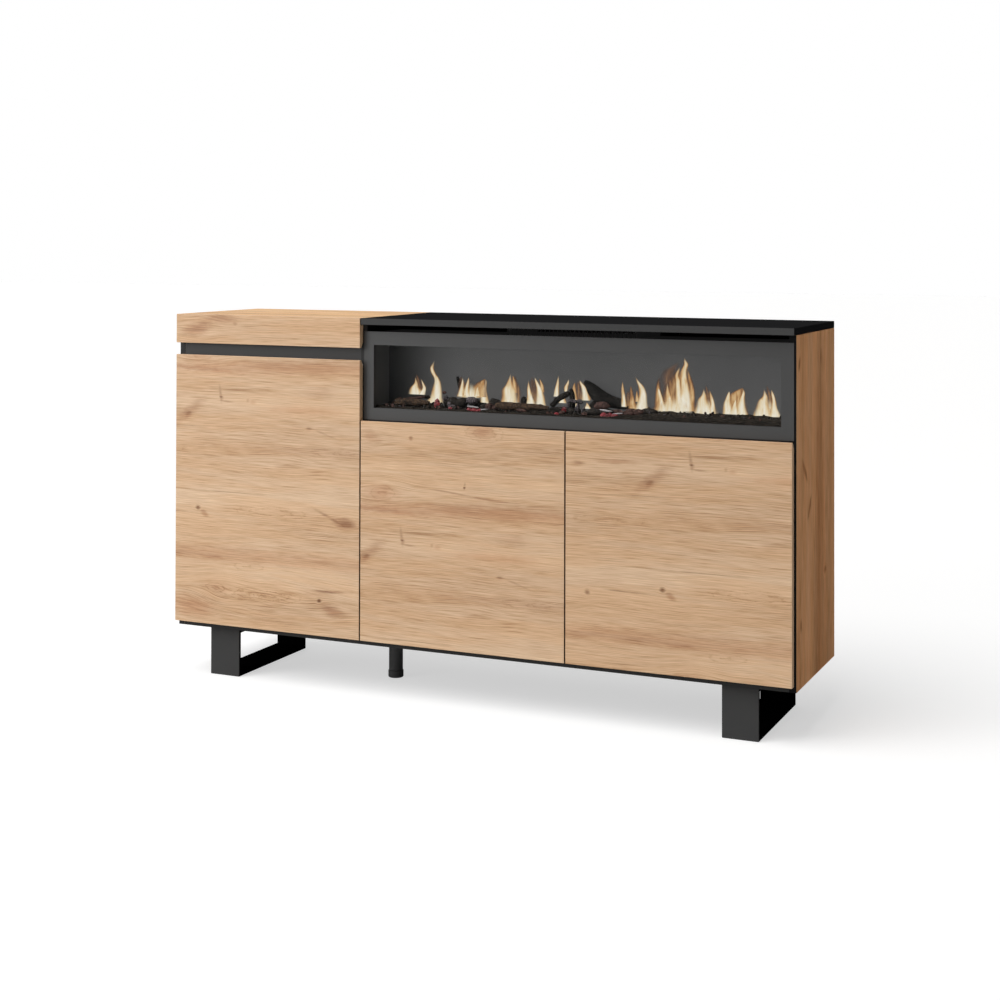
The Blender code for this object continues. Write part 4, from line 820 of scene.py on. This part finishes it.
# Thin branches among the flames: radii and points right of the window's left edge, behind the bed's
# front and above the window's lower edge, in millimetres
BRANCHES = [
    ("char", (6, 6.5, 5), [(406, 58, 14), (424, 58, 32), (450, 58, 46)]),
    ("char", (7, 6, 5), [(454, 62, 2), (455, 62, 30), (451, 62, 55)]),
    ("rust", (2.5, 3, 3), [(36, 50, 15), (64, 52, 19), (96, 54, 23)]),
    ("char", (2.5, 4, 4), [(28, 60, 10), (62, 62, 20), (104, 64, 22)]),
    ("char", (9, 8, 6), [(500, 60, 26), (512, 60, 16), (540, 58, 12)]),
]

# A branch's grid, how narrow its ends are and how rough it is
BRANCH_STEPS = 14
BRANCH_SIDES = 10
BRANCH_END = 0.55
BRANCH_ROUGHNESS = 0.35


def around(across, up, sides):
    """Directions all round a ring."""
    angles = [2 * math.pi * k / sides for k in range(sides)]
    return [across * math.cos(angle) + up * math.sin(angle) for angle in angles]


def skin(solid, rings):
    """Joins rings of vertices into a closed tube."""
    for low, high in zip(rings, rings[1:]):
        for k in range(len(low)):
            following = (k + 1) % len(low)
            solid.faces.new((low[k], low[following], high[following], high[k]))
    solid.faces.new(rings[0][::-1])
    solid.faces.new(rings[-1])


def branch(solid, radii, points, seed):
    """Adds one rough, tapering, closed branch to the mesh."""
    corner = Vector((WINDOW_LEFT, BED_FRONT, WINDOW_LOW))
    rings = []
    for step in range(BRANCH_STEPS + 1):
        share = step / BRANCH_STEPS
        centre = Vector(along_curve(points, share))
        ahead = Vector(along_curve(points, min(1, share + 0.02)))
        ahead -= Vector(along_curve(points, max(0, share - 0.02)))
        across = ahead.cross(Vector((0, 1, 0))).normalized()
        up = ahead.cross(across).normalized()
        radius = along_curve([(r,) for r in radii], share)[0]
        if step in (0, BRANCH_STEPS):
            radius *= BRANCH_END
        ring = []
        for out in around(across, up, BRANCH_SIDES):
            rough = noise.noise((centre * 0.12 + out * 1.3) + Vector((seed, 0, 0)))
            reach = radius * (1 + BRANCH_ROUGHNESS * rough)
            ring.append(solid.verts.new(corner + (centre + out * reach) * MM))
        rings.append(ring)
    skin(solid, rings)


def coal_looks():
    """The materials of the loose pieces on the bed, by kind."""
    alight = ((88, 12, 18), (160, 46, 56))
    return {
        "char": coal_material("coal_char", ((14, 12, 11), (34, 30, 27), (64, 58, 52))),
        "rock": coal_material("coal_rock", ((26, 25, 26), (58, 55, 56), (112, 104, 107)), 0.6),
        "rust": coal_material("coal_rust", ((28, 18, 16), (56, 40, 35), (112, 84, 77))),
        "ember": coal_material("coal_ember", ((46, 14, 16), (88, 28, 33), (150, 102, 104)), glow=alight),
        "ash": coal_material("coal_ash", ((140, 134, 134), (180, 176, 178), (214, 210, 212)), 1.5),
    }


def build_coals():
    """Loose coals, rocks, slivers of ash and thin branches on the ember bed."""
    looks = coal_looks()
    draw = random.Random(7)
    noise.seed_set(7)
    for kind, spots in LUMPS.items():
        solid = bmesh.new()
        for right, behind, above, long, deep, tall, turn in spots:
            x = WINDOW_LEFT + right * MM
            y = BED_FRONT + behind * MM
            z = bed_height(x, y) + above * MM
            lean = (draw.uniform(-0.2, 0.2), draw.uniform(-0.12, 0.12), math.radians(turn))
            lump(solid, (x, y, z), (long * MM, deep * MM, tall * MM), lean, draw.uniform(0, 40), fineness=3)
        for _ in range(SCATTERED[kind]):
            crowding = 1.0 if kind == "char" else SCATTER_CROWDING
            right = SCATTER_SPREAD * draw.random() ** crowding + SCATTER_START
            x = WINDOW_LEFT + right * MM
            y = BED_FRONT + draw.uniform(*SCATTER_BACK) * MM
            size = draw.uniform(*SCATTER_SIZE) * (1.0 if right < SMALLER_FROM else SMALLER_SHARE) * MM
            turn = [draw.uniform(-math.pi, math.pi) for _ in range(3)]
            shape = (size * draw.uniform(1, 1.7), size, size * draw.uniform(0.6, 0.9))
            lump(solid, (x, y, bed_height(x, y) + 0.25 * size), shape, turn, draw.uniform(0, 40))
        for number, (look, radii, points) in enumerate(BRANCHES):
            if look == kind:
                branch(solid, radii, points, number * 5.3)
        place_piece("coals_" + kind, solid, looks[kind])


def roughen(texture, name, subdivision):
    """Gives a CAD node a finer mesh with a lumpy surface."""
    joined = NODES[name].modifiers.new("joined", "WELD")
    joined.merge_threshold = 0.0001
    finer = NODES[name].modifiers.new("finer", "SUBSURF")
    finer.subdivision_type = subdivision
    finer.levels = finer.render_levels = 2
    rough = NODES[name].modifiers.new("rough", "DISPLACE")
    rough.texture = texture
    rough.strength = 0.0025
    rough.mid_level = 0.6


def screen_material():
    """The smoke-grey screen behind the flames. Its glow is partly its own and partly painted light, and it
    is less at the left and along its upper edge, as painted shadow.
    """
    made, t, spot = new_material("flame_screen")
    place = t.split(spot)
    haze = t.noise(spot, (3, 3, 6))
    # Painted shadow: the glow fades towards the left and along the upper edge, where the fascia round the
    # window shades the screen.
    glow_with_painted_shadow = t.fade(place[X], -0.25, -0.035)
    glow_with_painted_shadow = t.times(glow_with_painted_shadow, t.plus(0.85, haze, 0.3))
    glow_with_painted_shadow = t.times(glow_with_painted_shadow, t.fade(place[Z], 0.792, 0.778, 0.72))
    t.shade({
        "Base Color": t.mix(haze, grey(60), grey(72)),
        "Emission Color": opaque(74, 74, 74),
        "Emission Strength": glow_with_painted_shadow,
        "Roughness": 0.75,
        "Specular IOR Level": 0.1,
    })
    return made


def glass_material():
    """Clear glass with a faint smear."""
    made, t, spot = new_material("clear_glass")
    smear = t.noise(spot, (14, 14, 22), detail=4, roughness=0.6)
    t.shade({
        "Base Color": (0.02, 0.022, 0.022, 1),
        "Roughness": t.fade(smear, 0.35, 0.75, 0.02, 0.12),
        "Alpha": t.fade(smear, 0.3, 0.8, 0.05, 0.08),
    })
    return made


def dress_fire():
    """The insert's own nodes: bed, branches, screen, glass and the parts behind them."""
    dress(coal_material("ember_bed", ((12, 10, 8), (32, 27, 22), (60, 52, 43))), "ember_bed")
    dress(coal_material("bark", ((15, 11, 9), (46, 35, 27), (100, 78, 60)), 0.8), "log_left", "log_front")
    charred = coal_material("bark_charred", ((8, 8, 8), (25, 24, 23), (50, 46, 42)), 0.8)
    dress(charred, "log_upright", "log_driftwood")
    cloud = bpy.data.textures.new("bark_lumps", "CLOUDS")
    cloud.noise_scale = 0.006
    cloud.noise_depth = 3
    for name in ("log_left", "log_front", "log_driftwood", "log_upright"):
        roughen(cloud, name, "CATMULL_CLARK")
    roughen(cloud, "ember_bed", "SIMPLE")
    dress(screen_material(), "flame_screen")
    dress(glass_material(), "glass_pane")
    NODES["glass_pane"].visible_shadow = False

    sheet = paint("dark_sheet", linear(98, 98, 96), 500, 0.5, 0.0001, 0.2, 0.4)
    grille = paint("grille_paint", grey(20), 500, 0.7, 0.0001, 0.0, 0.05)
    # Painted light: the housing sheet and the grille glow faintly, lifting the shaded slot under the top and
    # the chamber's walls.
    for made in (sheet, grille):
        Tree(made.node_tree).shade({"Emission Color": opaque(15, 15, 15), "Emission Strength": 1.0})
    dress(sheet, "fireplace_housing", "blower_housing")
    dress(grille, "outlet_grille")
    dress(ZINC, "rotor_bearing")
    dress(brushed("bright_steel", linear(150, 150, 148)), "blower_motor", "blower_wheel")
    dress(paint("motor_plastic", linear(34, 34, 36), 600, 0.5), "rotor_motor")
    dress(paint("circuit_board", linear(24, 66, 44), 900, 0.5), "led_strip")
    dress(brushed("rotor_foil", linear(196, 176, 140)), "flame_rotor")


# Turned fittings, as (distance along the axis, radius) in millimetres
SCREW = [(0, 3.4), (0.5, 3.5), (1.3, 3.1), (1.9, 2.2), (2.1, 1.3), (1.5, 1.1), (1.4, 0.4)]
SHELF_PIN = [(0, 2.6), (0.4, 3.9), (1.4, 4.0), (1.8, 3.4), (2.0, 2.6), (6.4, 2.5), (7.0, 2.0)]
NAIL = [(-0.2, 1.9), (0.25, 2.0), (0.55, 1.4), (0.65, 0.5)]
BUMPER = [(-0.1, 4.0), (0.5, 4.0), (1.0, 3.2), (1.3, 1.6)]
CAP = [(-0.2, 5.4), (0.35, 5.5), (0.6, 5.0), (0.65, 2.0)]

# Where the fittings sit, in metres: insets from their piece's edges, half distances of a pair, and places
PIN_INSET = 0.037
PIN_CENTRE = 0.0045
PIN_GAP = 0.0002
ARM_PLATE = 0.0022
ARM_SCREWS_Y = -0.1165
ARM_SCREWS_HALF = 0.016
CUP_FLANGE = 0.0006
CUP_SCREWS_HALF = 0.0225
BUMPER_INSET = 0.0045
BUMPER_HEIGHT = 0.012
NAIL_SPACING = 0.12
NAIL_INSET = 0.013
NAIL_HEIGHT = 0.007
LEG_SCREW_INSET_X = 0.018
LEG_SCREW_INSET_Y = 0.05
LEG_BAR = 0.008
CAP_DEPTHS = (-0.125, 0.125)
CAP_HEIGHT = 0.16


def fittings(name, profile, spots, material, body="cabinet", sides=20):
    """One piece of like turned fittings, closed at both ends. spots are their places and axes."""
    solid = bmesh.new()
    for place, axis in spots:
        axis = Vector(axis)
        across = axis.orthogonal().normalized()
        directions = around(across, axis.cross(across), sides)
        rings = []
        for along, radius in profile:
            centre = Vector(place) + axis * along * MM
            rings.append([solid.verts.new(centre + out * radius * MM) for out in directions])
        skin(solid, rings)
    place_piece(name, solid, material, body)


def shelf_pins():
    """Two pins under each end of a shelf."""
    for name in SHELVES:
        low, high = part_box(name)
        ends = ((low[X] - PIN_GAP, (1, 0, 0)), (high[X] + PIN_GAP, (-1, 0, 0)))
        depths = (low[Y] + PIN_INSET, high[Y] - PIN_INSET)
        spots = [((x, y, low[Z] - PIN_CENTRE), axis) for y in depths for x, axis in ends]
        fittings("pins_" + name, SHELF_PIN, spots, PINS)


def about_middle(low, high, half):
    """The heights that lie half a distance below and above a box's middle."""
    middle = (low[Z] + high[Z]) / 2
    return middle - half, middle + half


def hinge_screws():
    """Two screws in each hinge arm's plate, and two in each cup's flange, which turn with the door."""
    for bay, side in HINGES.items():
        for level in LEVELS:
            low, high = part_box(f"{bay}_hinge_arm_{level}")
            plate = (low[X] if side == 1 else high[X]) + side * ARM_PLATE
            heights = about_middle(low, high, ARM_SCREWS_HALF)
            spots = [((plate, ARM_SCREWS_Y, z), (side, 0, 0)) for z in heights]
            fittings(f"{bay}_hinge_screws_{level}", SCREW, spots, PINS)
            low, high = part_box(f"{bay}_hinge_cup_{level}")
            x = (low[X] + high[X]) / 2
            heights = about_middle(low, high, CUP_SCREWS_HALF)
            spots = [((x, high[Y] - CUP_FLANGE, z), (0, 1, 0)) for z in heights]
            fittings(f"{bay}_cup_screws_{level}", SCREW, spots, PINS, f"{bay}_door")


def door_bumpers():
    """Clear bumpers in the corners of each door's free edge."""
    clear = paint("clear_bumper", linear(214, 214, 210), 500, 0.3)
    for bay, side in HINGES.items():
        low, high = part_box(bay + "_door")
        x = high[X] - BUMPER_INSET if side == 1 else low[X] + BUMPER_INSET
        spots = [((x, high[Y], z), (0, 1, 0)) for z in (low[Z] + BUMPER_HEIGHT, high[Z] - BUMPER_HEIGHT)]
        fittings(bay + "_door_bumpers", BUMPER, spots, clear, bay + "_door")


def back_nails():
    """A row of nails along the upper and the lower edge of each back."""
    spots = []
    for name in ("left_back_panel", "right_back_panel"):
        low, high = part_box(name)
        steps = round((high[X] - low[X]) / NAIL_SPACING)
        for k in range(steps + 1):
            x = low[X] + NAIL_INSET + (high[X] - low[X] - 2 * NAIL_INSET) * k / steps
            spots += [((x, high[Y], z), (0, 1, 0)) for z in (low[Z] + NAIL_HEIGHT, high[Z] - NAIL_HEIGHT)]
    fittings("back_panel_nails", NAIL, spots, ZINC, sides=12)


def leg_screws():
    """Four screws up through each leg frame into the bottom."""
    for name in ("left_leg_frame", "right_leg_frame"):
        low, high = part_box(name)
        across = (low[X] + LEG_SCREW_INSET_X, high[X] - LEG_SCREW_INSET_X)
        depths = (low[Y] + LEG_SCREW_INSET_Y, high[Y] - LEG_SCREW_INSET_Y)
        spots = [((x, y, high[Z] - LEG_BAR), (0, 0, -1)) for x in across for y in depths]
        fittings(name + "_screws", SCREW, spots, ZINC)


def fitting_caps():
    """Caps over the fittings that hold the uprights to the bottom."""
    spots = []
    walls = (("left_side_panel", 1), ("bay_divider", -1), ("bay_divider", 1), ("right_side_panel", -1))
    for name, side in walls:
        low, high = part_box(name)
        wall = high[X] if side == 1 else low[X]
        spots += [((wall, y, CAP_HEIGHT), (side, 0, 0)) for y in CAP_DEPTHS]
    fittings("fitting_caps", CAP, spots, paint("cap_plastic", grey(52), 600, 0.5))


def build_camera():
    """The photograph's view."""
    data = bpy.data.cameras.new("camera")
    data.sensor_width = 36
    data.lens = CAMERA_LENS
    data.shift_y = CAMERA_SHIFT
    camera = bpy.data.objects.new("camera", data)
    turn = Euler((math.radians(90 + CAMERA_PITCH), 0, math.radians(CAMERA_YAW))).to_matrix().to_4x4()
    roll = Matrix.Rotation(math.radians(CAMERA_ROLL), 4, "Z")
    camera.matrix_world = Matrix.Translation(CAMERA_PLACE) @ turn @ roll
    scene.collection.objects.link(camera)
    scene.camera = camera


def place_lamp(data, turn, location):
    """Puts a light into the scene."""
    lamp = bpy.data.objects.new(data.name, data)
    lamp.rotation_euler = turn.to_track_quat("Z", "Y").to_euler()
    lamp.location = location
    scene.collection.objects.link(lamp)


def build_light():
    """A broad soft source from above, a softbox at the left front, and a sky that is dimmer on the right."""
    ceiling = bpy.data.lights.new("ceiling", "SUN")
    ceiling.energy = SUN_LEVEL * math.pi
    ceiling.angle = math.radians(SUN_SPREAD)
    ceiling.color = (1.0, 0.995, 0.985)
    place_lamp(ceiling, Vector(SUN_FROM), Vector(SUN_FROM) * 4)
    softbox = bpy.data.lights.new("softbox", "AREA")
    softbox.energy = LAMP_POWER
    softbox.size = LAMP_SIZE
    place_lamp(softbox, Vector(LAMP_PLACE) - Vector(LAMP_AIM), LAMP_PLACE)

    world = bpy.data.worlds.new("sky")
    scene.world = world
    world.use_nodes = True
    t = Tree(world.node_tree)
    back = world.node_tree.nodes["Background"]
    path = t.add("LightPath").outputs
    seen = t.math("MAXIMUM", path["Is Camera Ray"], path["Is Transmission Ray"])
    glossy = t.times(path["Is Glossy Ray"], 0.9)
    side = t.split(t.add("TexCoord").outputs["Generated"])[0]
    glossy = t.times(glossy, t.fade(side, -0.2, -0.6, 0.1))
    sky = t.fade(side, -0.9, 0.9, SKY_LEVEL * 1.35, SKY_LEVEL * 0.4)
    t.plug(back.inputs["Strength"], t.math("MAXIMUM", sky, t.math("MAXIMUM", seen, glossy)))
    back.inputs["Color"].default_value = (1, 1, 1, 1)


def build_floor():
    """A pale floor that keeps the shadow."""
    mesh = bpy.data.meshes.new("floor")
    mesh.from_pydata([(x, y, 0) for x in (-30, 30) for y in (-30, 30)], [], [(0, 2, 3, 1)])
    floor = bpy.data.objects.new("floor", mesh)
    floor.location.z = -0.0004
    scene.collection.objects.link(floor)
    made, t, _ = new_material("pale_floor")
    t.shade({
        "Base Color": (FLOOR_COLOUR, FLOOR_COLOUR, FLOOR_COLOUR, 1),
        "Roughness": 0.7,
        "Specular IOR Level": 0.1,
        "Emission Color": (1, 1, 1, 1),
    })
    camera_ray = t.add("LightPath").outputs["Is Camera Ray"]
    t.shade({"Emission Strength": t.times(camera_ray, FLOOR_LIFT)})
    mesh.materials.append(made)


dress_oak()
dress_boards()
dress_metal()
dress_fire()
build_flames()
build_coals()
shelf_pins()
hinge_screws()
door_bumpers()
back_nails()
leg_screws()
fitting_caps()
build_camera()
build_light()
build_floor()
scene.view_settings.view_transform = "Standard"
